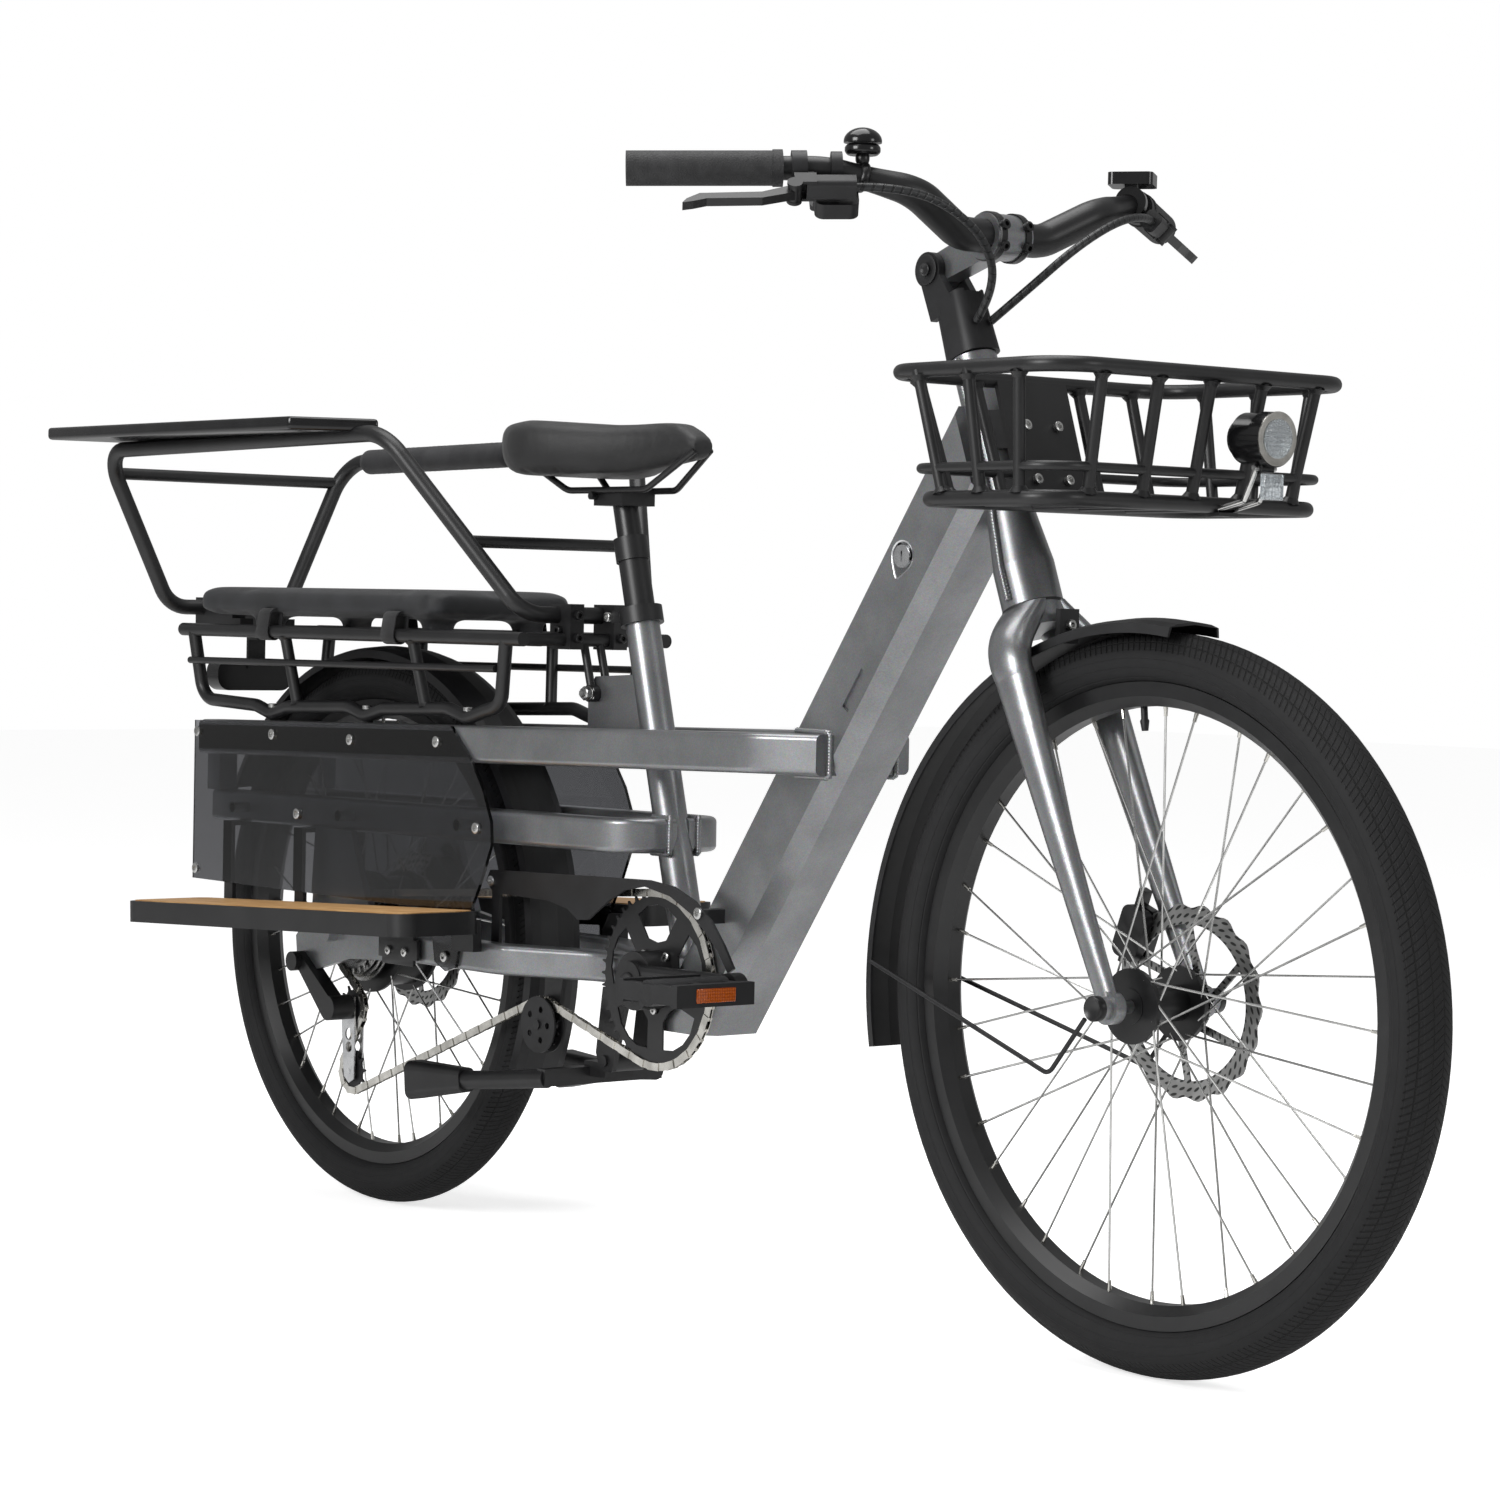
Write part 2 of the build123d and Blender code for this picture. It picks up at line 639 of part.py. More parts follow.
def fender(centre, radius, half, start, sweep_angle, wall):
    """A mudguard: a shallow channel turned part of the way round the wheel."""
    cx, cz = centre
    outer = [(radius - 12, -half), (radius - 3, -half + 2), (radius, -half + 12), (radius + 2, 0)]
    outer += [(r, -y) for r, y in outer[-2::-1]]
    inner = [(r - wall if abs(y) < half - 5 else r, y + (wall if y < 0 else -wall) * (abs(y) > half - 5)) for r, y in outer]
    points = outer + list(reversed(inner))
    face = make_face(Polyline(*[(cx, y, cz + r) for r, y in points], close=True))
    shell = revolve(face, axis=Axis((cx, 0, cz), (0, 1, 0)), revolution_arc=sweep_angle)
    return shell.rotate(Axis((cx, 0, cz), (0, 1, 0)), start)


front_fender_radius = 350.0
front_fender_centre = (front_axle_x - 12, front_axle_z - 5)
wire_radius = 2.2


def front_fender():
    """Front mudguard with its crown tab and wire stays to the fork ends."""
    guard = fender(front_fender_centre, front_fender_radius, 33, -101, 109, 2.5)
    for side in (-1, 1):
        guard = guard + pipe([(274, side * 32, 346), (553, side * 62, 268), (597, side * (blade_foot_y + 3), 322)], wire_radius, 12)
    tab = block(497, 503, -12, 12, 656, 688)
    return guard + tab - fork_solid


def rear_fender():
    """Rear mudguard from behind the bottom bracket over to the tail."""
    guard = fender((rear_axle_x, rear_axle_z), rear_tyre_radius + 14, 34, -62, 176, 2.5)
    return guard


save("front_fender", front_fender())
save("rear_fender", rear_fender() - bridges[0] - bridges[1] - bridges[2])

# ---------------------------------------------------------------- stem and handlebar
pivot = Vector(stem_pivot_x, 0, stem_pivot_z)
clamp = Vector(bar_clamp_x, 0, bar_clamp_z)
stem_low = head_low + head_length + 1.0
stem_tongue = 11.0
stem_ear = 8.0
pivot_radius = 17.0


def stem_base():
    """Steerer cover and the forked lower half of the tilting stem."""
    low, high = steer(stem_low), steer(stem_low + 62)
    core = loft([Plane(origin=low, x_dir=axis_front, z_dir=axis_up) * RectangleRounded(48, 44, 16),
                 Plane(origin=high, x_dir=axis_front, z_dir=axis_up) * RectangleRounded(40, 38, 10)])
    for side in (-1, 1):
        y = side * (stem_tongue + stem_ear / 2 + seat_gap)
        ear = disc((pivot.X, y, pivot.Z), pivot_radius, stem_ear)
        brace = slab([(pivot.X - 14, pivot.Z), (pivot.X + 16, pivot.Z - 4), (high.X + 18, high.Z - 12), (high.X - 18, high.Z - 24)],
                     y - stem_ear / 2, y + stem_ear / 2)
        core = core + ear + brace
    core = core - rod(steer(stem_low - 1), steer(stem_low + 48), steerer_radius + fit_gap)
    core = core - disc(pivot, pivot_radius + seat_gap, 2 * (stem_tongue + seat_gap))
    core = core - slab([(pivot.X, pivot.Z - pivot_radius - seat_gap), (pivot.X + 120, pivot.Z - 26), (pivot.X + 120, pivot.Z + 80),
                        (pivot.X, pivot.Z + 60)], -stem_tongue - seat_gap, stem_tongue + seat_gap)
    return core + disc(pivot, 6, 2 * (stem_tongue + stem_ear) + 6)


def stem_arm():
    """Upper half of the stem, from its pivot to the handlebar clamp."""
    along = (clamp - pivot).normalized()
    across = Vector(-along.Z, 0, along.X)
    arm = disc(pivot, pivot_radius, 2 * stem_tongue)
    a, b = pivot + across * 14, pivot - across * 14
    c, d = clamp - across * 16, clamp + across * 16
    arm = arm + slab([(a.X, a.Z), (b.X, b.Z), (c.X, c.Z), (d.X, d.Z)], -stem_tongue, stem_tongue)
    arm = arm + disc(clamp, bar_clamp_radius + 6, 44)
    arm = arm - disc(clamp, bar_clamp_radius + fit_gap, 60)
    return arm - disc(pivot, 6 + fit_gap, 60)


bar_points = [(bar_clamp_x, 0, bar_clamp_z), (bar_clamp_x, 52, bar_clamp_z), (bar_clamp_x + 12, 118, bar_clamp_z + 32),
              (376, 196, 1083), (grip_end_x, grip_end_y, grip_end_z)]
bar_bends = [46, 60, 110]
grip_end = Vector(grip_end_x, grip_end_y, grip_end_z)
grip_start = Vector(376, 196, 1083)
grip_direction = (grip_start - grip_end).normalized()


def on_grip(distance, side=1):
    """A point of the grip end's straight run, measured from its end."""
    point = grip_end + grip_direction * distance
    return Vector(point.X, side * point.Y, point.Z)


def handlebar():
    """Swept handlebar, thicker where the stem holds it."""
    right = pipe(bar_points, bar_radius, bar_bends)
    thick = disc(clamp, bar_clamp_radius, 70)
    return right + mirror(right, about=Plane.XZ) + thick


handlebar_solid = handlebar()


def grip(side):
    """Rubber grip with a closed end and a lock ring."""
    sleeve = rod(on_grip(-3, side), on_grip(grip_length, side), grip_radius)
    sleeve = sleeve + rod(on_grip(grip_length, side), on_grip(grip_length + 9, side), grip_radius + 1)
    return sleeve - rod(on_grip(0, side), on_grip(grip_length + 20, side), bar_radius)


def upright_frame(side):
    """Frame on the bar beside a grip: x toward the grip's end, z up."""
    origin = on_grip(grip_length + 24, side)
    toward = (on_grip(0, side) - origin).normalized()
    up = Vector(0, 0, 1) - toward * toward.Z
    return Plane(origin=origin, x_dir=toward, z_dir=up.normalized())


def lever_frame(side):
    """The same frame turned about the bar, so that the lever points ahead and down."""
    level = upright_frame(side)
    front = level.y_dir if level.y_dir.X > 0 else level.y_dir * -1
    lean = radians(lever_droop)
    return Plane(origin=level.origin, x_dir=level.x_dir, z_dir=level.z_dir * cos(lean) + front * sin(lean))


tank_end_x, tank_y = -50.0, 29.0
lever_pivot_x, lever_pivot_y = 6.0, 36.0


def ahead(side):
    """Sign of the local y that points ahead on each side."""
    return 1 if lever_frame(side).y_dir.X > 0 else -1


def lever_clamp(side):
    """Clamp, fluid reservoir and lever bracket of one brake."""
    frame, s = lever_frame(side), ahead(side)
    band = Plane(origin=frame.origin, z_dir=frame.x_dir) * Cylinder(bar_radius + 5, 14)
    arm = Pos(-6, s * 20, -2) * Box(14, 20, 12)
    tank = Pos(tank_end_x + 28, s * tank_y, 0) * fillet(Box(56, 17, 20).edges().filter_by(Axis.X), 5)
    ear_top = Pos(lever_pivot_x, s * lever_pivot_y, 9.5) * Cylinder(7, 3)
    ear_low = Pos(lever_pivot_x, s * lever_pivot_y, -9.5) * Cylinder(7, 3)
    link = Pos(-4, s * 29, 9.5) * Box(20, 14, 3) + Pos(-4, s * 29, -9.5) * Box(20, 14, 3)
    bracket = band + frame * (arm + tank + ear_top + ear_low + link)
    slot = frame * (Pos(lever_pivot_x + 9, s * lever_pivot_y, 0) * Box(40, 24, 16))
    return bracket - slot - handlebar_solid


def brake_lever(side):
    """Two-finger lever blade with a hooked tip."""
    frame, s = lever_frame(side), ahead(side)
    boss = Pos(lever_pivot_x, s * lever_pivot_y, 0) * Cylinder(6.5, 15.4)
    points = [(lever_pivot_x, s * (lever_pivot_y - 5)), (lever_pivot_x + 30, s * (lever_pivot_y + 6)), (92, s * 44), (104, s * 52),
              (108, s * 58), (98, s * 56), (86, s * 52), (lever_pivot_x + 30, s * (lever_pivot_y + 15)), (lever_pivot_x - 2, s * (lever_pivot_y + 6))]
    blade = extrude(make_face(Polyline(*[(x, y, -4.5) for x, y in points], close=True)), amount=9, dir=(0, 0, 1))
    return frame * (boss + blade)


levers = {side: brake_lever(side) for side in (-1, 1)}
save("stem_base", stem_base())
save("stem_arm", stem_arm())
save("handlebar", handlebar_solid)
save("grips", [grip(-1), grip(1)])
shift_origin = lever_frame(-1)
shift_ahead = ahead(-1)
shift_pivot_x = -34.0


def shifter():
    """Shifter pod hung below the bar with its band."""
    band = Plane(origin=on_grip(grip_length + 58, -1), z_dir=shift_origin.x_dir) * Cylinder(bar_radius + 4, 10)
    pod = shift_origin * (Pos(shift_pivot_x, shift_ahead * 16, -25) * fillet(Box(40, 34, 16).edges().filter_by(Axis.Z), 8))
    neck = shift_origin * (Pos(shift_pivot_x, 0, -15) * Box(10, 12, 18))
    return band + pod + neck - handlebar_solid


def shift_lever():
    """Thumb lever under the shifter pod."""
    boss = Pos(shift_pivot_x, shift_ahead * 14, -36) * Cylinder(8, 5)
    paddle = Pos(shift_pivot_x + 14, -shift_ahead * 2, -36) * fillet(Box(18, 30, 5).edges().filter_by(Axis.Z), 4)
    return shift_origin * (boss + paddle)


shifter_solid = shifter()
save("bar_controls", [lever_clamp(-1) + shifter_solid, lever_clamp(1)])
save("brake_lever_right", levers[-1])
save("brake_lever_left", levers[1])
save("shift_lever", shift_lever())

bend_start, bend_end = Vector(*bar_points[3]), Vector(*bar_points[2])
bell_direction = (bend_end - bend_start).normalized()
bell_seat = bend_start + bell_direction * 34
bell_centre = Vector(bell_seat.X, -bell_seat.Y, bell_seat.Z)


def bell():
    """Domed bell on a band round the handlebar."""
    x, y, z = bell_centre.X, bell_centre.Y, bell_centre.Z
    band = Plane(origin=bell_centre, z_dir=(bell_direction.X, -bell_direction.Y, bell_direction.Z)) * Cylinder(bar_radius + 3, 9)
    dome = chamfer((Pos(x, y, z + 34) * Cylinder(18, 24)).edges().group_by(Axis.Z)[-1], 8)
    stem = Pos(x, y, z + 16) * Cylinder(6, 14)
    return band + dome + stem - handlebar_solid


display_centre = on_grip(grip_length + 62, 1)


def display():
    """Small handlebar display on its clamp."""
    frame = upright_frame(1)
    band = Plane(origin=display_centre, z_dir=frame.x_dir) * Cylinder(bar_radius + 4, 12)
    local = Plane(origin=display_centre, x_dir=frame.x_dir, z_dir=frame.z_dir)
    head = local * Pos(4, 0, 22) * fillet(Box(38, 44, 12).edges().filter_by(Axis.Z), 6)
    foot = local * (Pos(0, 0, 14) * Box(12, 12, 10))
    return band + head + foot - handlebar_solid


save("bell", bell() - shifter_solid - lever_clamp(-1))
save("display", display())

# ---------------------------------------------------------------- rack, hoop and seat pad
rack_foot_y = 84.0
rack_bolts_x = (-715.0, -522.0, -329.0)
rack_posts_x = (-675.0, -420.0)
clamp_block_y = 29.0


def rack_side():
    """One side frame of the rack: top tube, dipped lower tube, posts and a thin rod."""
    side = -1
    low = [(-246, side * rack_y, rack_top_z), (-268, side * rack_foot_y, rail_z(-300) + 22)]
    for x in sorted(rack_bolts_x, reverse=True):
        seat = rail_z(x) + rack_tube_radius + seat_gap
        low += [(x + 34, side * rack_foot_y, seat + 9), (x, side * rack_foot_y, seat), (x - 34, side * rack_foot_y, seat + 9)]
    low += [(rack_rear_x + 20, side * rack_foot_y, rail_z(-850) + 24), (rack_rear_x + 14, side * rack_y, rack_top_z)]
    bends = [24] + [40, 24, 40] * 3 + [24]
    frame = pipe(low, rack_tube_radius, bends)
    frame = frame + rod((rack_rear_x - 10, side * rack_y, rack_top_z), (rack_front_x, side * rack_y, rack_top_z), rack_tube_radius)
    for x in rack_posts_x:
        frame = frame + rod((x, side * rack_y, rack_top_z), (x + 14, side * rack_foot_y, rail_z(x) + 15), rack_tube_radius - 1)
    middle = (rack_y + rack_foot_y) / 2 + rack_tube_radius - 1
    return frame + rod((rack_rear_x + 8, side * middle, 610), (-262, side * middle, 614), rack_rod_radius)


def rack():
    """Both side frames joined by cross tubes, with the struts to the frame's gusset."""
    body = rack_side()
    body = body + mirror(body, about=Plane.XZ)
    for x in (rack_rear_x + 14, -760, -420, rack_front_x - 8):
        body = body + rod((x, -rack_y, rack_top_z), (x, rack_y, rack_top_z), rack_tube_radius - 0.5)
    for side in (-1, 1):
        y = side * 10.5
        strut = rod((rack_front_x - 8, y, rack_top_z), (gusset_rear_x + 14, y, gusset_top_z - 22), 4.5)
        eye = disc((gusset_rear_x + 14, y, gusset_top_z - 22), 9, 10)
        body = body + strut + eye
    return body


def hoop():
    """Passenger hoop: one loop of tube round both sides, with two cross bars."""
    half = pipe([(-235, 0, hoop_low_z), (-235, -hoop_low_y, hoop_low_z), (-372, -hoop_top_y, hoop_top_z),
                 (hoop_rear_x - 4, -hoop_top_y, hoop_top_z - 8), (hoop_rear_x, -hoop_low_y, hoop_low_z), (hoop_rear_x + 6, 0, hoop_low_z)],
                hoop_tube_radius, [36, 55, 42, 36])
    loop = half + mirror(half, about=Plane.XZ)

    def leg(z):
        """Half width and place of the front leg at a height."""
        share = (z - hoop_low_z) / (hoop_top_z - hoop_low_z)
        return -235 - share * 137, hoop_low_y + share * (hoop_top_y - hoop_low_y)

    front_x, front_y = leg(748)
    loop = loop + rod((front_x, -front_y, 748), (front_x, front_y, 748), 6.5)
    share = (828 - hoop_low_z) / (hoop_top_z - 8 - hoop_low_z)
    rear_y = hoop_low_y + share * (hoop_top_y - hoop_low_y)
    loop = loop + rod((hoop_rear_x - 3, -rear_y, 828), (hoop_rear_x - 3, rear_y, 828), 7)
    return loop


def hoop_clamps():
    """Blocks that hold the hoop on the rack, and the link to the seat tube collar."""
    pieces = []
    for side in (-1, 1):
        pieces.append(block(-246, -210, side * clamp_block_y - 9, side * clamp_block_y + 9, 636, 684))
        low, high = side * clamp_block_y - 9, side * clamp_block_y + 9
        pieces.append(block(hoop_rear_x - 12, rack_rear_x + 24, low, high, 640, 660)
                      + block(hoop_rear_x - 12, pad_rear_x - 3, low, high, 658, 684))
    return pieces


rack_solid = rack()
hoop_solid = hoop()
rack_solid = rack_solid - seat_tube_solid
save("rack", [rack_solid] + [piece - rack_solid - hoop_solid for piece in hoop_clamps()])
save("hoop", hoop_solid)

armrest_outer_y = 240.0
armrest_length = 560.0


def armrest():
    """Moulded arm rest that wraps the right top rail and stands out to the side."""
    z = hoop_top_z - 5
    rear = -968.0
    outline = Polyline((rear + 16, -hoop_top_y - 4, z), (rear, -armrest_outer_y + 16, z), (rear + 16, -armrest_outer_y, z),
                       (rear + armrest_length - 36, -armrest_outer_y, z), (rear + armrest_length, -hoop_top_y - 4, z), close=True)
    shelf = Pos(0, 0, 2) * extrude(make_face(outline), amount=17, dir=(0, 0, 1))
    shelf = fillet(shelf.edges().group_by(Axis.Z)[-1], 6)
    sleeve = rod((rear + 60, -hoop_top_y, z - 2), (rear + armrest_length - 6, -hoop_top_y, z + 4), hoop_tube_radius + 6)
    return shelf + sleeve - hoop_solid


def foam_sleeve():
    """Foam sleeve on the left top rail."""
    share = 8.0 / (hoop_rear_x + 376)
    start, end = -905.0, -606.0
    a = Vector(start, hoop_top_y, hoop_top_z + (start + 372) * share)
    b = Vector(end, hoop_top_y, hoop_top_z + (end + 372) * share)
    return rod(a, b, hoop_tube_radius + 6) - hoop_solid


def seat_pad():
    """Long seat cushion on two feet rows that stand on the rack's cross tubes."""
    length = pad_front_x - pad_rear_x
    centre_x = (pad_front_x + pad_rear_x) / 2
    outline = Pos(centre_x, 0, pad_low_z) * RectangleRounded(length, 2 * pad_half_width, 26)
    body = extrude(outline, amount=pad_top_z - pad_low_z)
    body = fillet(body.edges().group_by(Axis.Z)[-1], 8)
    for x in (-760, -420):
        for side in (-1, 1):
            foot = block(x - 12, x + 12, side * 60 - 16, side * 60 + 16, rack_top_z + rack_tube_radius - 0.5 + seat_gap, pad_low_z + 2)
            body = body + foot
    return body


save("hoop_grips", [armrest(), foam_sleeve()])
save("seat_pad", seat_pad())

# ---------------------------------------------------------------- side panels and footboards
def side_panel():
    """Smoked panel that keeps a passenger's feet out of the wheel."""
    y = -rail_outer_y
    points = [(panel_rear_x, 354), (panel_rear_x, rail_z(panel_rear_x) - 1), (-342, rail_z(-342) - 1), (-308, 520), (-282, 486),
              (-266, 452), (-264, 428), (-282, 388), (-316, 326), (-326, 292), (-344, 287), (-364, 296), (-376, 352)]
    return slab(points, y - panel_thickness, y)


deck_wall = 5.0
deck_height = 24.0


footboard_middle_x = footboard_rear_x + footboard_length / 2
strap_places = (-790.0, -640.0)


def tilted(shape):
    """A level footboard piece turned to the footboard's slope about its middle."""
    return shape.rotate(Axis((footboard_middle_x, 0, footboard_z), (0, 1, 0)), -footboard_slope)


def footboard_frame():
    """Black rim of a footboard with the brackets that carry it."""
    x1 = footboard_rear_x + footboard_length
    centre = Pos(footboard_middle_x, -(footboard_inner_y + footboard_outer_y) / 2, footboard_z - deck_height / 2)
    width = footboard_outer_y - footboard_inner_y
    tray = extrude(centre * RectangleRounded(footboard_length, width, 22), amount=deck_height)
    hollow = extrude(centre * Pos(0, 0, 9) * RectangleRounded(footboard_length - 2 * deck_wall, width - 2 * deck_wall, 18), amount=deck_height)
    tray = tray - hollow
    front = block(x1 - 62, x1 - 22, -footboard_inner_y, -rail_outer_y, footboard_z - 32, footboard_z + 2)
    tray = tilted(tray + front)
    for x in strap_places:
        level = footboard_z + (x - footboard_middle_x) * tan(radians(footboard_slope))
        under_rail = mid_rail_z - mid_rail_height / 2 - 5
        strap = block(x - 9, x + 9, -rail_outer_y, -rail_outer_y + 5, level - 9, under_rail + 1)
        foot = block(x - 9, x + 9, -footboard_inner_y - 3, -rail_outer_y + 5, level - 9, level - 3)
        hook = block(x - 9, x + 9, -rail_outer_y, -mid_rail_y, under_rail - 4, under_rail + 1)
        tray = tray + strap + foot + hook
    return tray


def footboard_deck():
    """Wooden board let into the footboard's rim."""
    width = footboard_outer_y - footboard_inner_y
    centre = Pos(footboard_middle_x, -(footboard_inner_y + footboard_outer_y) / 2, footboard_z - deck_height / 2 + 9)
    board = extrude(centre * RectangleRounded(footboard_length - 2 * deck_wall - 1, width - 2 * deck_wall - 1, 17.5), amount=deck_height - 8)
    return tilted(board)


def clear_of(shape, *others):
    """A shape without the space that other pieces fill."""
    for other in others:
        shape = shape - other
    return shape


board = clear_of(footboard_frame(), chainstays[0], mid_rails[0], bridges[-2], dropout(), side_panel())
save("side_panels", both(side_panel()))
save("footboard_frames", both(board))
save("footboard_decks", both(footboard_deck()))

# ---------------------------------------------------------------- front basket and lights
def ring_half(rear_x, front_x, half_rear, half_front, z, radius, corner):
    """Right half of a basket ring."""
    return pipe([(rear_x, 0, z), (rear_x, -half_rear, z), (front_x, -half_front, z), (front_x, 0, z)], radius, [corner, corner])


def basket():
    """Tube basket: two rings and a thin one joined by uprights, with its mounting plate."""
    top_rear, top_front, top_half = 438.0, 676.0, 186.0
    low_rear, low_front, low_half = 478.0, 652.0, 172.0
    half = ring_half(top_rear, top_front, top_half - 8, top_half, basket_top_z, basket_tube_radius, 42)
    half = half + ring_half(low_rear, low_front, low_half, low_half, basket_low_z, basket_tube_radius, 34)
    share = 0.24
    half = half + ring_half(low_rear + (top_rear - low_rear) * share, low_front + (top_front - low_front) * share,
                            low_half + 3, low_half + 3, basket_low_z + (basket_top_z - basket_low_z) * share, basket_rod_radius, 34)
    for shift in (0.22, 0.5, 0.78):
        top = (top_rear + (top_front - top_rear) * shift, -top_half + 4 * (1 - shift), basket_top_z)
        low = (low_rear + (low_front - low_rear) * shift, -low_half, basket_low_z)
        half = half + rod(top, low, basket_tube_radius - 1.5)
    for y in (-62.0, -128.0):
        half = half + rod((top_front, y * 1.06, basket_top_z), (low_front, y, basket_low_z), basket_tube_radius - 1.5)
        half = half + rod((top_rear, y * 1.06, basket_top_z), (low_rear, y, basket_low_z), basket_tube_radius - 1.5)
    for y in (-30.0, -90.0):
        half = half + rod((low_rear, y, basket_low_z), (low_front, y, basket_low_z), basket_rod_radius)
    frame = half + mirror(half, about=Plane.XZ)
    frame = frame + rod((top_front, 0, basket_top_z), (low_front, 0, basket_low_z), basket_tube_radius - 1.5)
    plate = slab([(top_rear + 2, basket_top_z), (top_rear + 7, basket_top_z), (low_rear + 5, basket_low_z), (low_rear, basket_low_z)], -44, 44)
    arms = block(400, 470, -19, -14, 836, 872) + block(400, 470, 14, 19, 836, 872)
    arms = arms + block(408, 480, -19, -14, 792, 822) + block(408, 480, 14, 19, 792, 822)
    arms = arms - slab([(top_rear + 4, basket_top_z), (top_rear + 90, basket_top_z), (low_rear + 60, basket_low_z - 8), (low_rear + 4, basket_low_z)], -60, 60)
    return frame + plate + arms - head_envelope()


def basket_floor():
    """Floor sheet on the basket's lower rods."""
    base = basket_low_z + basket_rod_radius + seat_gap
    sheet = block(488, 642, -160, 160, base, base + 2)
    for x in (520, 565, 610):
        for y in (-120, -60, 0, 60, 120):
            sheet = sheet - block(x - 14, x + 14, y - 22, y + 22, base - 1, base + 3)
    return sheet


light_pivot = Vector(702, 41, 815)


def light_bracket():
    """Wire bracket on the basket's front with the square reflector."""
    wires = None
    for y in (31, 51):
        wire = pipe([(656, y, 779), (688, y, 786), (light_pivot.X, y, light_pivot.Z)], 2.2, 9)
        wires = wire if wires is None else wires + wire
    wires = wires + rod((light_pivot.X, 29, light_pivot.Z), (light_pivot.X, 53, light_pivot.Z), 2.6)
    return wires + block(648, 660, 29, 53, 773, 776.3)


def headlight():
    """Round headlight with a stepped barrel and a domed lens, on its eye."""
    axis = Plane(origin=(light_pivot.X - 22, light_pivot.Y, light_pivot.Z + 27), z_dir=(1, 0, -0.05))
    barrel = axis * Cylinder(23, 22, align=(Align.CENTER, Align.CENTER, Align.MIN))
    lens = axis * Pos(0, 0, 22) * Cylinder(24.5, 14, align=(Align.CENTER, Align.CENTER, Align.MIN))
    back = axis * Pos(0, 0, -8) * Cylinder(17, 9, align=(Align.CENTER, Align.CENTER, Align.MIN))
    eye = disc(light_pivot, 5.5, 15) + block(light_pivot.X - 4, light_pivot.X + 4, light_pivot.Y - 7.5, light_pivot.Y + 7.5, light_pivot.Z, light_pivot.Z + 8)
    return barrel + lens + back + eye - disc(light_pivot, 2.6 + fit_gap, 60)


def rear_light():
    """Wide rear light hung below the rack's tail."""
    body = block(-912, -886, -52, 52, 574, 612)
    body = fillet(body.edges().filter_by(Axis.X), 16)
    under_tube = rack_top_z - rack_tube_radius + 0.5 - seat_gap
    hanger = block(-888, -884, -12, 12, 600, under_tube) + block(-886, -864, -12, 12, under_tube - 4, under_tube)
    return body + hanger


basket_solid = basket()
save("basket", [basket_solid, basket_floor(), light_bracket() - basket_solid])
save("headlight", headlight())
save("rear_light", rear_light())

# ---------------------------------------------------------------- chain path and toothed wheels
wheel_teeth = {"chainring": chainring_teeth, "cog": cog_teeth, "upper_jockey": jockey_teeth, "lower_jockey": jockey_teeth,
               "idler": idler_teeth}


def pitch_circle(teeth):
    """Radius of the circle on which a wheel's chain rollers lie."""
    return chain_pitch / (2 * sin(pi / teeth))


def chain_wheels(cage_x):
    """Wheels in the chain's order, as centre, radius and the side the chain wraps."""
    return [("chainring", crank_centre.X, crank_centre.Z, 1), ("cog", rear_axle_x, rear_axle_z, 1),
            ("upper_jockey", upper_jockey_x, jockey_high_z, -1), ("lower_jockey", cage_x, jockey_low_z, 1),
            ("idler", idler_x, idler_z, -1)]


def tangent(first, second):
    """Ends of the chain's straight run from one wheel to the next."""
    name_a, ax, az, turn_a = first
    name_b, bx, bz, turn_b = second
    ra, rb = pitch_circle(wheel_teeth[name_a]), pitch_circle(wheel_teeth[name_b])
    gap_x, gap_z = bx - ax, bz - az
    distance = hypot(gap_x, gap_z)
    lean = atan2(gap_z, gap_x)
    spread = (turn_a * ra - turn_b * rb) / distance
    normal = lean + atan2(spread, sqrt(1 - spread * spread)) - pi / 2
    start = (ax + turn_a * ra * cos(normal), az + turn_a * ra * sin(normal))
    end = (bx + turn_b * rb * cos(normal), bz + turn_b * rb * sin(normal))
    return start, end


def chain_pieces(cage_x):
    """The chain's path as straight runs and arcs, measured in links."""
    wheels = chain_wheels(cage_x)
    count = len(wheels)
    runs = [tangent(wheels[i], wheels[(i + 1) % count]) for i in range(count)]
    pieces = []
    for i in range(count):
        (x0, z0), (x1, z1) = runs[i]
        pieces.append(("run", (x0, z0), (x1, z1), hypot(x1 - x0, z1 - z0) / chain_pitch))
        name, cx, cz, turn = wheels[(i + 1) % count]
        nx, nz = runs[(i + 1) % count][0]
        start = atan2(z1 - cz, x1 - cx)
        swing = (atan2(nz - cz, nx - cx) - start) * turn % (2 * pi)
        pieces.append(("arc", (cx, cz, pitch_circle(wheel_teeth[name]), start, turn, swing), name,
                       swing * wheel_teeth[name] / (2 * pi)))
    return pieces


def links_for(cage_x):
    """Length of the chain's path in links."""
    return sum(piece[3] for piece in chain_pieces(cage_x))


def taut_cage_x():
    """Place of the lower jockey wheel at which a whole, even number of links is taut."""
    target = 2 * round(links_for(upper_jockey_x) / 2)
    low, high = upper_jockey_x - 40, upper_jockey_x + 40
    for _ in range(60):
        middle = (low + high) / 2
        if links_for(middle) > target:
            low = middle
        else:
            high = middle
    return (low + high) / 2, target


cage_x, link_count = taut_cage_x()
print("chain links", link_count, "lower jockey wheel at x", round(cage_x, 2))
chain_path = chain_pieces(cage_x)


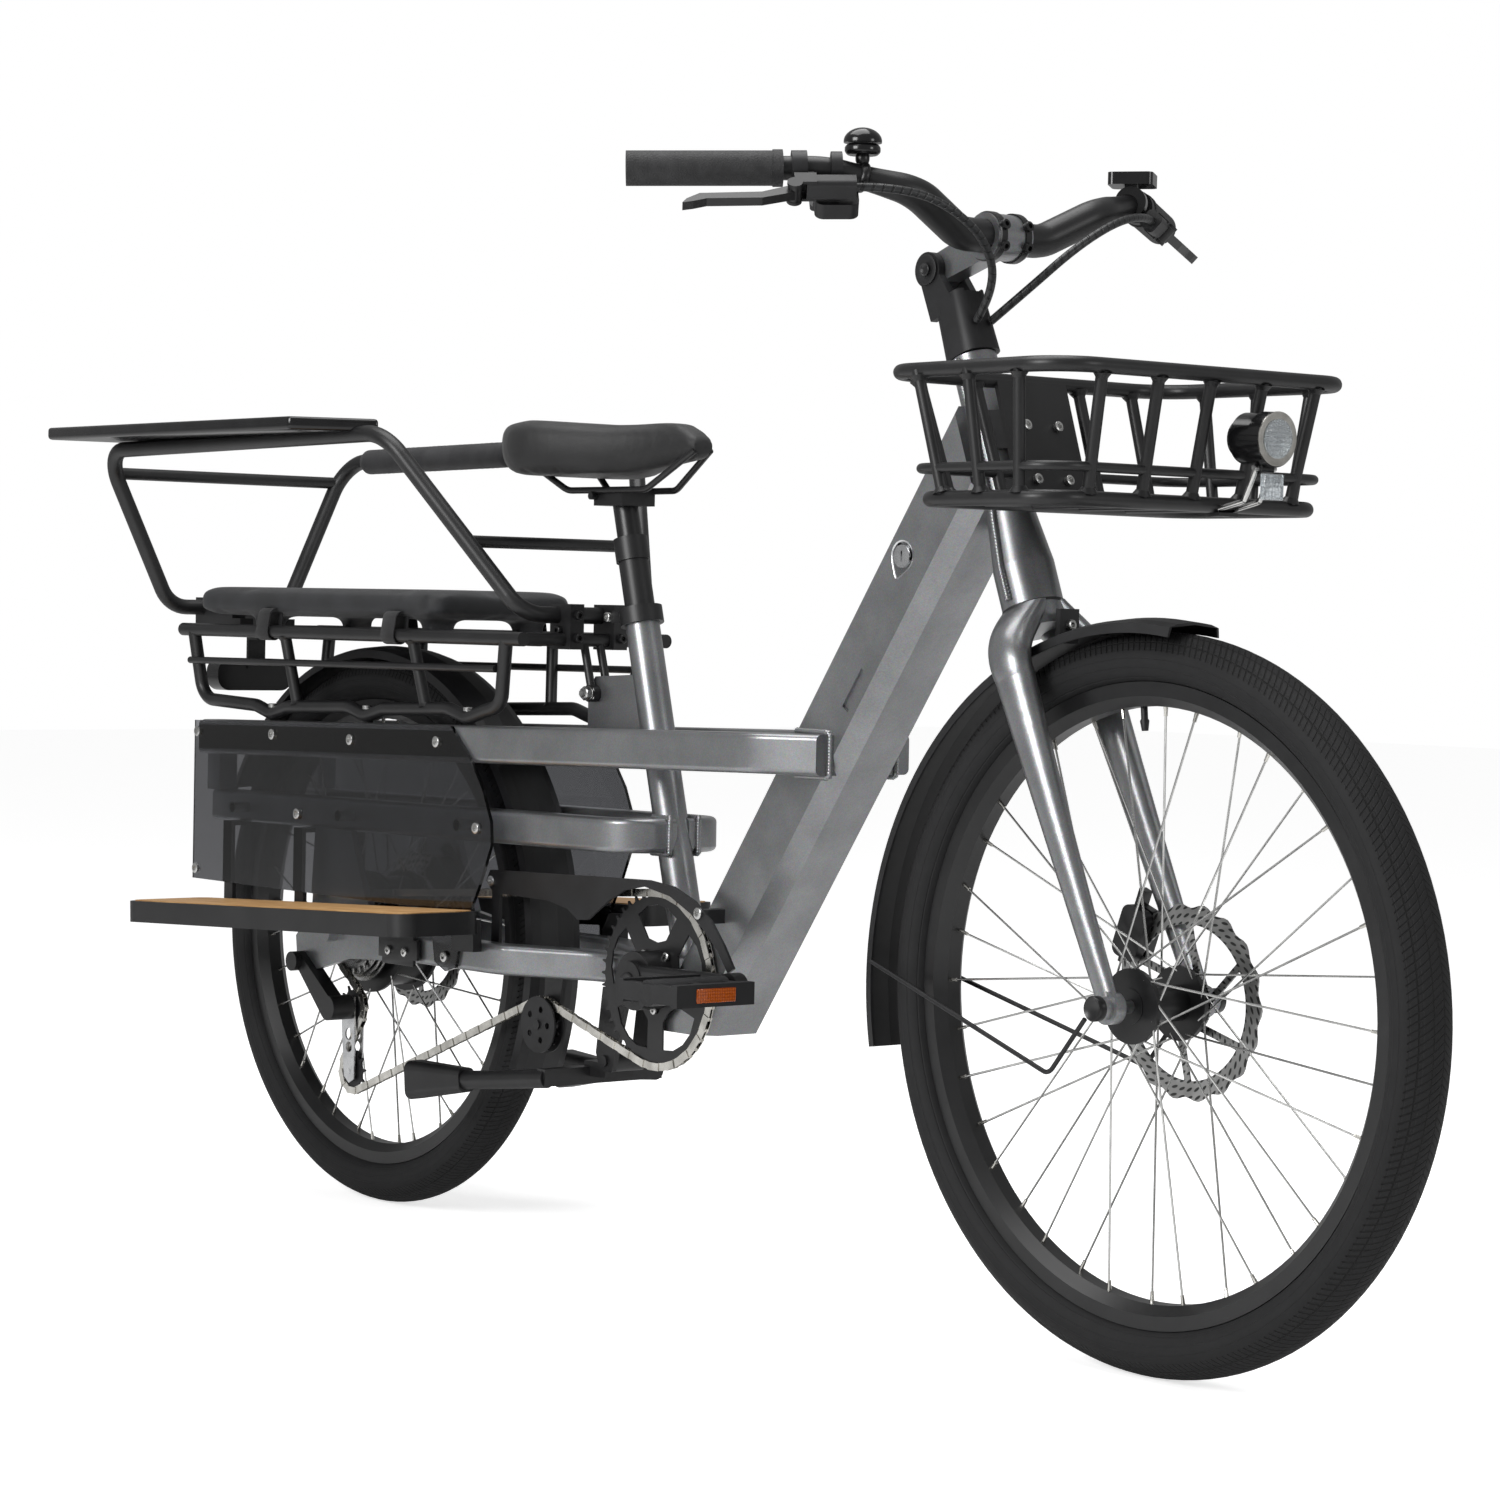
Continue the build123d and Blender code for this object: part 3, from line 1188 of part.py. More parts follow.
def roller_places():
    """Centres of the chain's rollers round its path, with the wheel each lies on."""
    places = []
    along = 0.0
    for number in range(link_count):
        rest = number
        for kind, a, b, length in chain_path:
            if rest < length:
                if kind == "run":
                    share = rest / length
                    places.append((a[0] + (b[0] - a[0]) * share, a[1] + (b[1] - a[1]) * share, None))
                else:
                    cx, cz, radius, start, turn, swing = a
                    angle = start + turn * swing * rest / length
                    places.append((cx + radius * cos(angle), cz + radius * sin(angle), b))
                break
            rest -= length
    return places


rollers = roller_places()


def first_roller_angle(name, cx, cz):
    """Angle of one roller that lies on a wheel, which sets where its teeth stand."""
    for x, z, wheel in rollers:
        if wheel == name:
            return atan2(z - cz, x - cx)
    return 0.0


def toothed(name, centre, teeth, width, y, root_drop=4.2):
    """A toothed wheel turned so that its teeth stand between the chain's rollers."""
    radius = pitch_circle(teeth)
    phase = first_roller_angle(name, *centre)
    root, tip = radius - root_drop, radius + 2.4
    points = []
    for tooth in range(teeth):
        for share, reach in ((-0.33, root + 1.2), (0.0, root), (0.33, root + 1.2), (0.44, tip), (0.56, tip)):
            angle = phase + 2 * pi * (tooth + share) / teeth
            points.append((centre[0] + reach * cos(angle), centre[1] + reach * sin(angle)))
    return slab(points, y - width / 2, y + width / 2)


roller_radius = 3.7
link_height = 8.0
plate_thickness = 0.9
chain_inner = 2.6


def chain():
    """Roller chain: a roller at each pitch, and pairs of inner and outer plates in turn."""
    pieces = []
    for number, (x, z, _) in enumerate(rollers):
        nx, nz, _ = rollers[(number + 1) % link_count]
        middle = Vector((x + nx) / 2, -chain_line, (z + nz) / 2)
        lean = degrees(atan2(nz - z, nx - x))
        outside = number % 2
        offset = chain_inner / 2 + plate_thickness * (0.5 + outside)
        for side in (-1, 1):
            plate = Box(chain_pitch + link_height * 0.6, plate_thickness, link_height)
            pieces.append(Pos(middle.X, middle.Y + side * offset, middle.Z) * Rot(0, -lean, 0) * plate)
        section = Plane(origin=(x, -chain_line - chain_inner / 2, z), x_dir=(1, 0, 0), z_dir=(0, 1, 0)) * RegularPolygon(roller_radius, 6)
        pieces.append(extrude(section, amount=chain_inner, dir=(0, 1, 0)))
    return pieces


tooth_width = 2.0


def chainring():
    """Chainring with its window cut-outs and the spider bolts' circle."""
    ring = toothed("chainring", (crank_centre.X, crank_centre.Z), chainring_teeth, tooth_width, -chain_line)
    ring = ring - disc((crank_centre.X, -chain_line, crank_centre.Z), 24, 20)
    for window in range(5):
        middle = radians(72 * window + 18)
        outline = []
        for turn, reach in ((-26, 72), (-13, 76), (0, 77), (13, 76), (26, 72), (20, 44), (0, 38), (-20, 44)):
            angle = middle + radians(turn)
            outline.append((crank_centre.X + reach * cos(angle), crank_centre.Z + reach * sin(angle)))
        ring = ring - slab(outline, -chain_line - 5, -chain_line + 5)
    return ring


pedal_axle_radius = 7.0
pedal_boss = 15.0
arm_y = {-1: -82.0, 1: 82.0}


def crank():
    """Spindle with both crank arms, the right one carrying the chainring's spider."""
    body = disc(crank_centre, spindle_radius, 170)
    for side, direction in ((-1, 1), (1, -1)):
        y = arm_y[side]
        end_x = crank_centre.X + direction * crank_length
        end_z = crank_centre.Z + direction * 8.0
        arm = loft([Plane(origin=(crank_centre.X, y - side * 6, crank_centre.Z), x_dir=(0, 1, 0), z_dir=(direction, 0, 0)) * RectangleRounded(16, 34, 6),
                    Plane(origin=(end_x, y + side * 4, end_z), x_dir=(0, 1, 0), z_dir=(direction, 0, 0)) * RectangleRounded(13, 26, 6)])
        body = body + arm + disc((crank_centre.X, y - side * 6, crank_centre.Z), 21, 20)
        body = body + disc((end_x, y + side * 4, end_z), pedal_boss, 15)
    spider_y = -chain_line - tooth_width / 2
    body = body + disc((crank_centre.X, (spider_y - 78) / 2, crank_centre.Z), 30, abs(-78 - spider_y))
    for side, direction in ((-1, 1), (1, -1)):
        end = (crank_centre.X + direction * crank_length, arm_y[side] + side * 4, crank_centre.Z + direction * 8.0)
        reach = rod(end, (end[0], end[1] + side * 108, end[2]), pedal_axle_radius)
        body = body + reach
    return body


def pedal(side):
    """Platform pedal turning on its axle: two toothed plates joined by cross bars."""
    direction = 1 if side < 0 else -1
    x = crank_centre.X + direction * crank_length
    z = crank_centre.Z + direction * 8.0
    inner = arm_y[side] + side * 16
    outer = inner + side * 96
    body = disc((x, (inner + outer) / 2, z), 13, 94)
    for dx in (-42, 42):
        body = body + block(x + dx - 5, x + dx + 5, inner, outer, z - 11, z + 11)
    for y in (inner + side * 5, (inner + outer) / 2, outer - side * 5):
        body = body + block(x - 42, x + 42, y - 5, y + 5, z - 9, z + 9)
    return body - disc((x, (inner + outer) / 2, z), pedal_axle_radius + fit_gap, 300)


def cassette():
    """Seven cogs and their spacers on the freewheel body, growing toward the wheel."""
    sizes = (28, 26, 24, 22, 18, 16, 14)
    body = disc((rear_axle_x, -46.5, rear_axle_z), 17, 25)
    spacing = 4.2
    for place, teeth in enumerate(sizes):
        y = -chain_line + (3 - place) * spacing
        if teeth == cog_teeth:
            cog = toothed("cog", rear_axle, teeth, 1.8, y)
        else:
            cog = disc((rear_axle_x, y, rear_axle_z), pitch_circle(teeth) - 1, 1.6)
        body = body + cog
    return body - disc((rear_axle_x, 0, rear_axle_z), axle_radius + fit_gap, 300)


idler_pin = 5.0


def idler():
    """Chain guide wheel with two flanges and round lightening holes."""
    place = (idler_x, -chain_line, idler_z)
    wheel = toothed("idler", (idler_x, idler_z), idler_teeth, tooth_width, -chain_line)
    for side in (-1, 1):
        wheel = wheel + disc((idler_x, -chain_line + side * 6.0, idler_z), pitch_circle(idler_teeth) + 3.5, 2)
    wheel = wheel + disc(place, 12, 14)
    for hole in range(5):
        angle = radians(72 * hole)
        wheel = wheel - disc((idler_x + 17 * cos(angle), -chain_line, idler_z + 17 * sin(angle)), 3.5, 40)
    return wheel - disc(place, idler_pin + fit_gap, 80)


def idler_arm():
    """Arm from the chainstay that carries the idler's pin."""
    arm = slab([(idler_x - 12, idler_z), (idler_x + 12, idler_z), (idler_x + 22, 290), (idler_x - 10, 290)], -38.5, -33)
    return arm + rod((idler_x, -34, idler_z), (idler_x, -chain_line - 9, idler_z), idler_pin)


def jockey(name, x, z):
    """Toothed jockey wheel of the derailleur."""
    wheel = toothed(name, (x, z), jockey_teeth, tooth_width, -chain_line)
    wheel = wheel + disc((x, -chain_line, z), 9, 7)
    return wheel - disc((x, -chain_line, z), 3 + fit_gap, 80)


def cage():
    """Two cage plates that hold the jockey wheels on their pins."""
    pieces = None
    for y in (-chain_line - 5.5, -chain_line + 5.5):
        plate = slab([(upper_jockey_x - 11, jockey_high_z + 12), (upper_jockey_x + 11, jockey_high_z + 12), (upper_jockey_x + 12, jockey_high_z - 20),
                      (cage_x + 10, jockey_low_z - 8), (cage_x, jockey_low_z - 13), (cage_x - 10, jockey_low_z - 6),
                      (upper_jockey_x - 14, jockey_high_z - 20)], y - 0.9, y + 0.9)
        for place in ((0.42, 7.0), (0.62, 6.0)):
            hx = upper_jockey_x + (cage_x - upper_jockey_x) * place[0]
            hz = jockey_high_z + (jockey_low_z - jockey_high_z) * place[0]
            plate = plate - disc((hx, y, hz), place[1], 8)
        pieces = plate if pieces is None else pieces + plate
    for x, z in ((upper_jockey_x, jockey_high_z), (cage_x, jockey_low_z)):
        pieces = pieces + disc((x, -chain_line, z), 3, 14)
    return pieces


def derailleur():
    """Derailleur body: hanger, upper knuckle, parallelogram and the cage's knuckle."""
    x, z = rear_axle_x - 62, 272.0
    hanger = disc((x, -dropout_inner_y - dropout_thickness - 8, z), 11, 16)
    link = slab([(x - 9, z + 4), (x + 6, z + 10), (upper_jockey_x + 10, jockey_high_z + 8), (upper_jockey_x - 10, jockey_high_z - 10)], -84, -66)
    knuckle = disc((upper_jockey_x, -(chain_line + 7.2 + 84) / 2, jockey_high_z), 14, 84 - chain_line - 7.2)
    return hanger + link + knuckle


guard_y = -64.0


def chain_guard():
    """Chain guard plate with a narrow tail that reaches over the chainring to the down tube."""
    top = [(-313, 386), (-306, 398), (-120, 403), (-30, 405), (10, 401), (44, 389), (72, 370), (92, 348), (108, 326)]
    tail = [(99, 321), (82, 342), (62, 359), (38, 376), (4, 391), (-38, 398), (-70, 392), (-94, 381)]
    low = [(-118, 366), (-132, 357), (-150, 356), (-168, 366), (-200, 372), (-300, 374)]
    plate = slab(top + tail + low, guard_y - 3, guard_y)
    strut = block(-306, -292, guard_y, guard_y + 4, 318, 392)
    front = block(46, 62, guard_y, -down_width / 2 + 1, 367, 381)
    return plate + strut + front


save("chain", chain())
save("chainring", chainring())
crank_solid = crank()
save("crank", crank_solid)
save("pedal_right", pedal(-1))
save("pedal_left", pedal(1))
save("cassette", cassette())
save("idler", idler())
save("upper_jockey", jockey("upper_jockey", upper_jockey_x, jockey_high_z))
save("lower_jockey", jockey("lower_jockey", cage_x, jockey_low_z))
save("derailleur_cage", cage())
save("derailleur", clear_of(derailleur(), cage(), dropout()))
save("chain_guard", clear_of(chain_guard(), down_envelope(), chainstays[0]))
idler_arm_solid = clear_of(idler_arm(), chainstays[0])

# ---------------------------------------------------------------- centre stand
stand_pivot = Vector(-150, 0, 206)
stand_pin = 6.0


def stand_bracket():
    """Bracket below the bottom bracket shell with the stand's pivot pin."""
    under_stays = bottom_bracket_z + 4 - chainstay_height / 2 - seat_gap
    plate = block(-150, -60, -24, 24, under_stays - 12, under_stays)
    for side in (-1, 1):
        cheek = slab([(-166, 214), (-158, 194), (-138, 196), (-112, under_stays - 6), (-156, under_stays - 6)], side * 24 - 3, side * 24 + 3)
        plate = plate + cheek
    return plate + disc(stand_pivot, stand_pin, 60)


def stand():
    """Double-leg centre stand folded back, with flared feet."""
    hub = disc(stand_pivot, 12, 41) - disc(stand_pivot, stand_pin + fit_gap, 60)
    bridge = block(-196, -160, -19, 19, 186, 202) + block(-200, -186, -78, 78, 178, 196)
    body = hub + (bridge - disc(stand_pivot, stand_pin + 1, 60))
    for side in (-1, 1):
        leg = rod((-190, side * 72, 186), (-318, side * 92, 172), 10)
        foot = loft([Plane(origin=(-310, side * 90, 173), x_dir=(0, 1, 0), z_dir=(-0.98, side * 0.14, -0.09)) * RectangleRounded(24, 26, 8),
                     Plane(origin=(-388, side * 101, 166), x_dir=(0, 1, 0), z_dir=(-0.98, side * 0.14, -0.09)) * RectangleRounded(36, 42, 10)])
        body = body + leg + foot
    return body


stand_bracket_solid = clear_of(stand_bracket(), seat_tube_solid, chainstays[0], chainstays[1], down_envelope())
save("frame_fittings", [seat_clamp_solid, idler_arm_solid, stand_bracket_solid])
save("stand", stand())

# ---------------------------------------------------------------- hoses
hose_radius = 4.0
hose_entry = steer(stem_low + 27, 24.3, 9)
hose_lever = lever_frame(1)
hose_points = [tuple(hose_lever.from_local_coords((tank_end_x - seat_gap - reach, ahead(1) * tank_y, 0))) for reach in (0.0, 34.0)]
hose_points += [(440, 112, 1056), (440, 58, 1027), (416, 20, 986), tuple(hose_entry)]


def hose(side):
    """Wrapped brake hose from a lever's reservoir down into the steerer cover."""
    points = [Vector(x, side * y, z) for x, y, z in hose_points]
    bends = []
    for before, here, after in zip(points, points[1:], points[2:]):
        first, second = here - before, after - here
        turn = radians(first.get_angle(second))
        bends.append(0.45 * min(first.length, second.length) / tan(turn / 2))
    print("hose bend radii", side, [round(b, 1) for b in bends])
    tube = pipe([tuple(p) for p in points], hose_radius, bends)
    path = bend_path([tuple(p) for p in points], bends)
    print("hose length", round(path.length, 1), "volume share", round(tube.volume / (path.length * pi * hose_radius ** 2), 4))
    return tube


save("hoses", [hose(-1), hose(1)])
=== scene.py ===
# %% [markdown]
# # A longtail cargo bicycle
# The frame, wheels and drive come from an engineering model, and this lesson dresses them. Each
# cell adds one kind of part or one finish, says what it is on a real bicycle, and prints what it made.

# %% Load the engineering model
import bpy
import bmesh
from math import cos, pi, radians, sin, tan, tau
from mathutils import Matrix, Vector


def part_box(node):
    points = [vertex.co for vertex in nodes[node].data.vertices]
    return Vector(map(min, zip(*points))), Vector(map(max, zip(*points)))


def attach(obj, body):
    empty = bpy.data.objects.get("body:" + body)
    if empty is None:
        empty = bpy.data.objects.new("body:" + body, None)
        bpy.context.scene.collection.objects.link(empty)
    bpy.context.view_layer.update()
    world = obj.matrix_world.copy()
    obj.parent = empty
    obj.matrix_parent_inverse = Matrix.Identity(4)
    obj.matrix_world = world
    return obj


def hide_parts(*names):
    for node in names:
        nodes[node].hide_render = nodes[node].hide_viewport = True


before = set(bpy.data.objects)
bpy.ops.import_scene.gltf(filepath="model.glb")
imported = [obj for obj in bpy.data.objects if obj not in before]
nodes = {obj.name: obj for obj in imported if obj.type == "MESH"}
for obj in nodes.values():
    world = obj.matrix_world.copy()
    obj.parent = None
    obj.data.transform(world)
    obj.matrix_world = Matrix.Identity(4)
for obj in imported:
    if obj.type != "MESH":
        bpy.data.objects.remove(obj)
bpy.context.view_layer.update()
bpy.ops.object.select_all(action="DESELECT")
print("CAD nodes:", len(nodes))

# %% [markdown]
# The camera stands low and well ahead of the bicycle on its right, with a long lens, so the near
# wheel looks only a little larger than the far one. Its turn is built from three angles.

# %% Camera
CAMERA_PLACE = (3.0588, -2.4868, 0.6756)
CAMERA_LENS = 92.835
yaw, pitch, roll = 2.4516, -0.0347, 0.0208
ahead = Vector((cos(pitch) * cos(yaw), cos(pitch) * sin(yaw), sin(pitch)))
level_right = Vector((sin(yaw), -cos(yaw), 0))
level_up = level_right.cross(ahead)
right = level_right * cos(roll) + level_up * sin(roll)
up = level_up * cos(roll) - level_right * sin(roll)
lens = bpy.data.cameras.new("studio_camera")
lens.lens = CAMERA_LENS
lens.clip_end = 60
camera = bpy.data.objects.new("studio_camera", lens)
bpy.context.scene.collection.objects.link(camera)
camera.matrix_world = Matrix.Translation(CAMERA_PLACE) @ Matrix((right, up, -ahead)).transposed().to_4x4()
bpy.context.scene.camera = camera
print("camera looks along", [round(v, 3) for v in ahead])

# %% [markdown]
# Two helpers serve every finish. One turns an sRGB hex value to the linear light that Blender
# works in. The other adds a node with its settings and its links in one call.

# %% Material helpers
def linear(code):
    """An sRGB hex value as linear red, green, blue and alpha."""
    levels = [int(code[i:i + 2], 16) / 255 for i in (1, 3, 5)]
    return [v / 12.92 if v <= 0.04045 else ((v + 0.055) / 1.055) ** 2.4 for v in levels] + [1.0]


def add(tree, kind, settings=None, links=None):
    """Add one shader node, set its sockets or properties, and link what feeds it."""
    node = tree.nodes.new("ShaderNode" + kind)
    for key, value in (settings or {}).items():
        if isinstance(key, int) or key in node.inputs:
            node.inputs[key].default_value = value
        else:
            setattr(node, key, value)
    for key, source in (links or {}).items():
        tree.links.new(source, node.inputs[key])
    return node


def new_material(name, **sockets):
    """An empty material with its Principled shader, whose plain values sit on its own sockets."""
    material = bpy.data.materials.new(name)
    material.use_nodes = True
    tree = material.node_tree
    shader = tree.nodes["Principled BSDF"]
    for key, value in sockets.items():
        shader.inputs[key.replace("_", " ")].default_value = value
    return material, tree, shader


def two_tones(ramp, dark, light):
    """Set the low and high colours of a ramp from hex values."""
    low, high = ramp.color_ramp.elements
    low.color, high.color = linear(dark), linear(light)


def mottle(tree, shader, place, light, dark, patch_mm, contrast=(0.35, 0.65)):
    """Colour that drifts between two close tones in patches of a real size."""
    noise = add(tree, "TexNoise", {"Scale": 1000 / patch_mm, "Detail": 4.0}, {"Vector": place})
    ramp = add(tree, "ValToRGB", {}, {"Fac": noise.outputs["Fac"]})
    ramp.color_ramp.elements[0].position, ramp.color_ramp.elements[1].position = contrast
    two_tones(ramp, dark, light)
    tree.links.new(ramp.outputs["Color"], shader.inputs["Base Color"])
    return ramp


def relief(tree, shader, height, depth_mm, strength=0.6):
    """Surface relief of a real depth from a height pattern."""
    bump = add(tree, "Bump", {"Strength": strength, "Distance": depth_mm / 1000}, {"Height": height})
    tree.links.new(bump.outputs["Normal"], shader.inputs["Normal"])
    return bump


def dress(material, *names):
    """Give CAD nodes one finish on all their slots."""
    for name in names:
        slots = nodes[name].material_slots
        if not slots:
            nodes[name].data.materials.append(material)
        for slot in slots:
            slot.material = material


# %% [markdown]
# ## Frame paint
# The real frame is aluminium with a gunmetal metallic lacquer under a satin clear coat. The flakes
# are about 0.2 mm across and only sparkle, so a cell pattern tilts the surface a little from flake
# to flake, drawn at 0.9 mm so that it shows. Broad soft patches keep the tone from looking flat.

# %% Gunmetal lacquer
def gunmetal_lacquer():
    """Metallic lacquer with flakes and a thin clear coat."""
    material, tree, shader = new_material("gunmetal_lacquer", Metallic=0.82, Roughness=0.34, Coat_Weight=0.45,
                                          Coat_Roughness=0.16)
    place = add(tree, "TexCoord").outputs["Object"]
    flakes = add(tree, "TexVoronoi", {"Scale": 1000 / 0.9}, {"Vector": place})
    tone = mottle(tree, shader, place, "#919294", "#808183", 60)
    spark = add(tree, "Mix", {"data_type": "RGBA", "blend_type": "SOFT_LIGHT", 0: 0.22},
                {6: tone.outputs["Color"], 7: flakes.outputs["Color"]})
    tree.links.new(spark.outputs[2], shader.inputs["Base Color"])
    grey = add(tree, "RGBToBW", {}, {"Color": flakes.outputs["Color"]})
    relief(tree, shader, grey.outputs["Val"], 0.05, 0.14)
    return material


frame_paint = gunmetal_lacquer()
dress(frame_paint, "front_frame", "seat_tube", "top_rails", "rear_frame", "chainstays", "fork", "stem_arm")
print("painted", 7, "nodes")

# %% [markdown]
# ## Black parts
# The rack, hoop, basket and bars are steel or aluminium with a satin black powder coat. Powder
# flows out to a faint orange peel about 1.5 mm across, which breaks up the highlights.

# %% Satin powder coat
def powder_coat(name, light, dark, roughness, peel_mm=1.5, peel_depth=0.05):
    """Baked powder with a faint orange peel."""
    material, tree, shader = new_material(name, Roughness=roughness, Metallic=0.0)
    place = add(tree, "TexCoord").outputs["Object"]
    mottle(tree, shader, place, light, dark, 45)
    peel = add(tree, "TexNoise", {"Scale": 1000 / peel_mm, "Detail": 2.0}, {"Vector": place})
    relief(tree, shader, peel.outputs["Fac"], peel_depth, 0.35)
    return material


black_powder = powder_coat("satin_black_powder", "#1b1b1c", "#121213", 0.4)
dress(black_powder, "rack", "hoop", "basket", "handlebar", "stand", "frame_fittings", "seat_post",
      "footboard_frames")
anodised_black = powder_coat("black_anodised", "#171718", "#0e0e0f", 0.33, 0.8, 0.02)
dress(anodised_black, "front_rim", "rear_rim", "front_hub", "motor_hub", "crank", "chainring",
      "front_caliper", "rear_caliper", "brake_lever_right", "brake_lever_left", "derailleur", "sprung_post")
print("powder coated and anodised nodes dressed")

# %% [markdown]
# Mudguards, lever bodies and the chain guard are moulded nylon. The mould has a fine spark-eroded
# grain near 0.6 mm, so the plastic looks softer than the metal beside it.

# %% Moulded nylon and polished plastic
def moulded_nylon(name, light, dark, roughness, grain_mm, depth_mm):
    """Textured black plastic from a spark-eroded mould."""
    material, tree, shader = new_material(name, Roughness=roughness, IOR=1.5)
    place = add(tree, "TexCoord").outputs["Object"]
    mottle(tree, shader, place, light, dark, 30)
    grain = add(tree, "TexVoronoi", {"Scale": 1000 / grain_mm, "feature": "SMOOTH_F1"}, {"Vector": place})
    relief(tree, shader, grain.outputs["Distance"], depth_mm, 0.4)
    return material


nylon = moulded_nylon("moulded_nylon", "#18181a", "#0f0f10", 0.5, 0.6, 0.05)
dress(nylon, "front_fender", "rear_fender", "chain_guard", "bar_controls", "shift_lever", "idler",
      "upper_jockey", "lower_jockey", "stem_base", "pedal_right", "pedal_left", "battery")
polished = moulded_nylon("polished_abs", "#161617", "#0e0e0f", 0.16, 3.0, 0.01)
dress(polished, "bell", "headlight", "rear_light", "display", "hoop_grips")
print("plastic nodes dressed")

# %% [markdown]
# ## Bare metals
# Spokes and discs are stainless steel, the chain is nickel plated and the cage is polished
# aluminium. All are metals, so their colour is the reflection's colour and the base stays pale.

# %% Stainless, nickel and aluminium
def bare_metal(name, light, dark, roughness, scratch_mm):
    """Metal with fine scratches left by polishing."""
    material, tree, shader = new_material(name, Metallic=1.0, Roughness=roughness)
    place = add(tree, "TexCoord").outputs["Object"]
    mottle(tree, shader, place, light, dark, 18)
    stretch = add(tree, "Mapping", {"Scale": (1.0, 1.0, 9.0)}, {"Vector": place})
    scratch = add(tree, "TexNoise", {"Scale": 1000 / scratch_mm, "Detail": 3.0},
                  {"Vector": stretch.outputs["Vector"]})
    rough = add(tree, "MapRange", {"To Min": roughness * 0.75, "To Max": roughness * 1.4},
                {"Value": scratch.outputs["Fac"]})
    tree.links.new(rough.outputs["Result"], shader.inputs["Roughness"])
    relief(tree, shader, scratch.outputs["Fac"], 0.01, 0.25)
    return material


stainless = bare_metal("stainless_steel", "#d2d2d0", "#b9b9b8", 0.24, 0.7)
nickel = bare_metal("nickel_plate", "#dcdad4", "#b8b6b0", 0.2, 1.2)
aluminium = bare_metal("polished_aluminium", "#dedfe0", "#c4c5c7", 0.26, 0.9)
dress(stainless, "front_spokes", "rear_spokes", "cassette")
dress(nickel, "chain")
dress(aluminium, "derailleur_cage", "battery_lock")
print("metal nodes dressed")

# %% [markdown]
# A brake disc is turned on a lathe and ground, so its fine lines run in circles round the axle.
# The wave pattern in ring mode draws them about the Y axis of each wheel. Slanted rows of small
# drilled holes run across the braking band. The holes are only drawn, as near-black spots of painted
# shade without metal sheen.

# %% Ground brake discs
HOLE_PITCH = 7.5
HOLES_ROUND = 54


def ground_disc(name, centre):
    """Stainless disc with grinding rings about its own axle."""
    material, tree, shader = new_material(name, Metallic=1.0, Roughness=0.3)
    place = add(tree, "TexCoord").outputs["Object"]
    moved = add(tree, "Mapping", {"Location": (-centre[0], 0.0, -centre[1])}, {"Vector": place})
    tone = mottle(tree, shader, place, "#a8a8a7", "#8f8f8e", 25)
    axes = add(tree, "SeparateXYZ", {}, {"Vector": moved.outputs["Vector"]})
    turn = add(tree, "Math", {"operation": "ARCTAN2"}, {0: axes.outputs["Z"], 1: axes.outputs["X"]})
    flat = add(tree, "CombineXYZ", {}, {"X": axes.outputs["X"], "Z": axes.outputs["Z"]})
    reach = add(tree, "VectorMath", {"operation": "LENGTH"}, {0: flat.outputs["Vector"]})
    row = add(tree, "Math", {"operation": "MULTIPLY", 1: 1000 / HOLE_PITCH}, {0: reach.outputs["Value"]})
    step = add(tree, "Math", {"operation": "MULTIPLY_ADD", 1: HOLES_ROUND / (2 * pi)},
               {0: turn.outputs[0], 2: row.outputs[0]})
    grid = add(tree, "CombineXYZ", {}, {"X": step.outputs[0], "Y": row.outputs[0]})
    cell = add(tree, "VectorMath", {"operation": "FRACTION"}, {0: grid.outputs["Vector"]})
    off = add(tree, "VectorMath", {"operation": "DISTANCE", 1: (0.5, 0.5, 0.0)}, {0: cell.outputs["Vector"]})
    solid = add(tree, "MapRange", {"From Min": 0.24, "From Max": 0.3}, {"Value": off.outputs["Value"]})
    # Near-black in the holes is painted shade, and the holes are not metal.
    drilled_hole_shade = add(tree, "Mix", {"data_type": "RGBA", 6: linear("#0a0a0a")},
                  {0: solid.outputs[0], 7: tone.outputs["Color"]})
    tree.links.new(drilled_hole_shade.outputs[2], shader.inputs["Base Color"])
    tree.links.new(solid.outputs[0], shader.inputs["Metallic"])
    rings = add(tree, "TexWave", {"wave_type": "RINGS", "rings_direction": "Y", "Scale": 1000 / 9,
                                  "Distortion": 0.4},
                {"Vector": moved.outputs["Vector"]})
    relief(tree, shader, rings.outputs["Fac"], 0.03, 0.3)
    return material


def middle(node):
    """Middle of a CAD node's box."""
    low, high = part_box(node)
    return (Vector(low) + Vector(high)) / 2


front_axle, rear_axle = middle("front_rim"), middle("rear_rim")
dress(ground_disc("front_disc_steel", (front_axle.x, front_axle.z)), "front_rotor")
dress(ground_disc("rear_disc_steel", (rear_axle.x, rear_axle.z)), "rear_rotor")
print("front axle at", [round(v, 3) for v in front_axle])
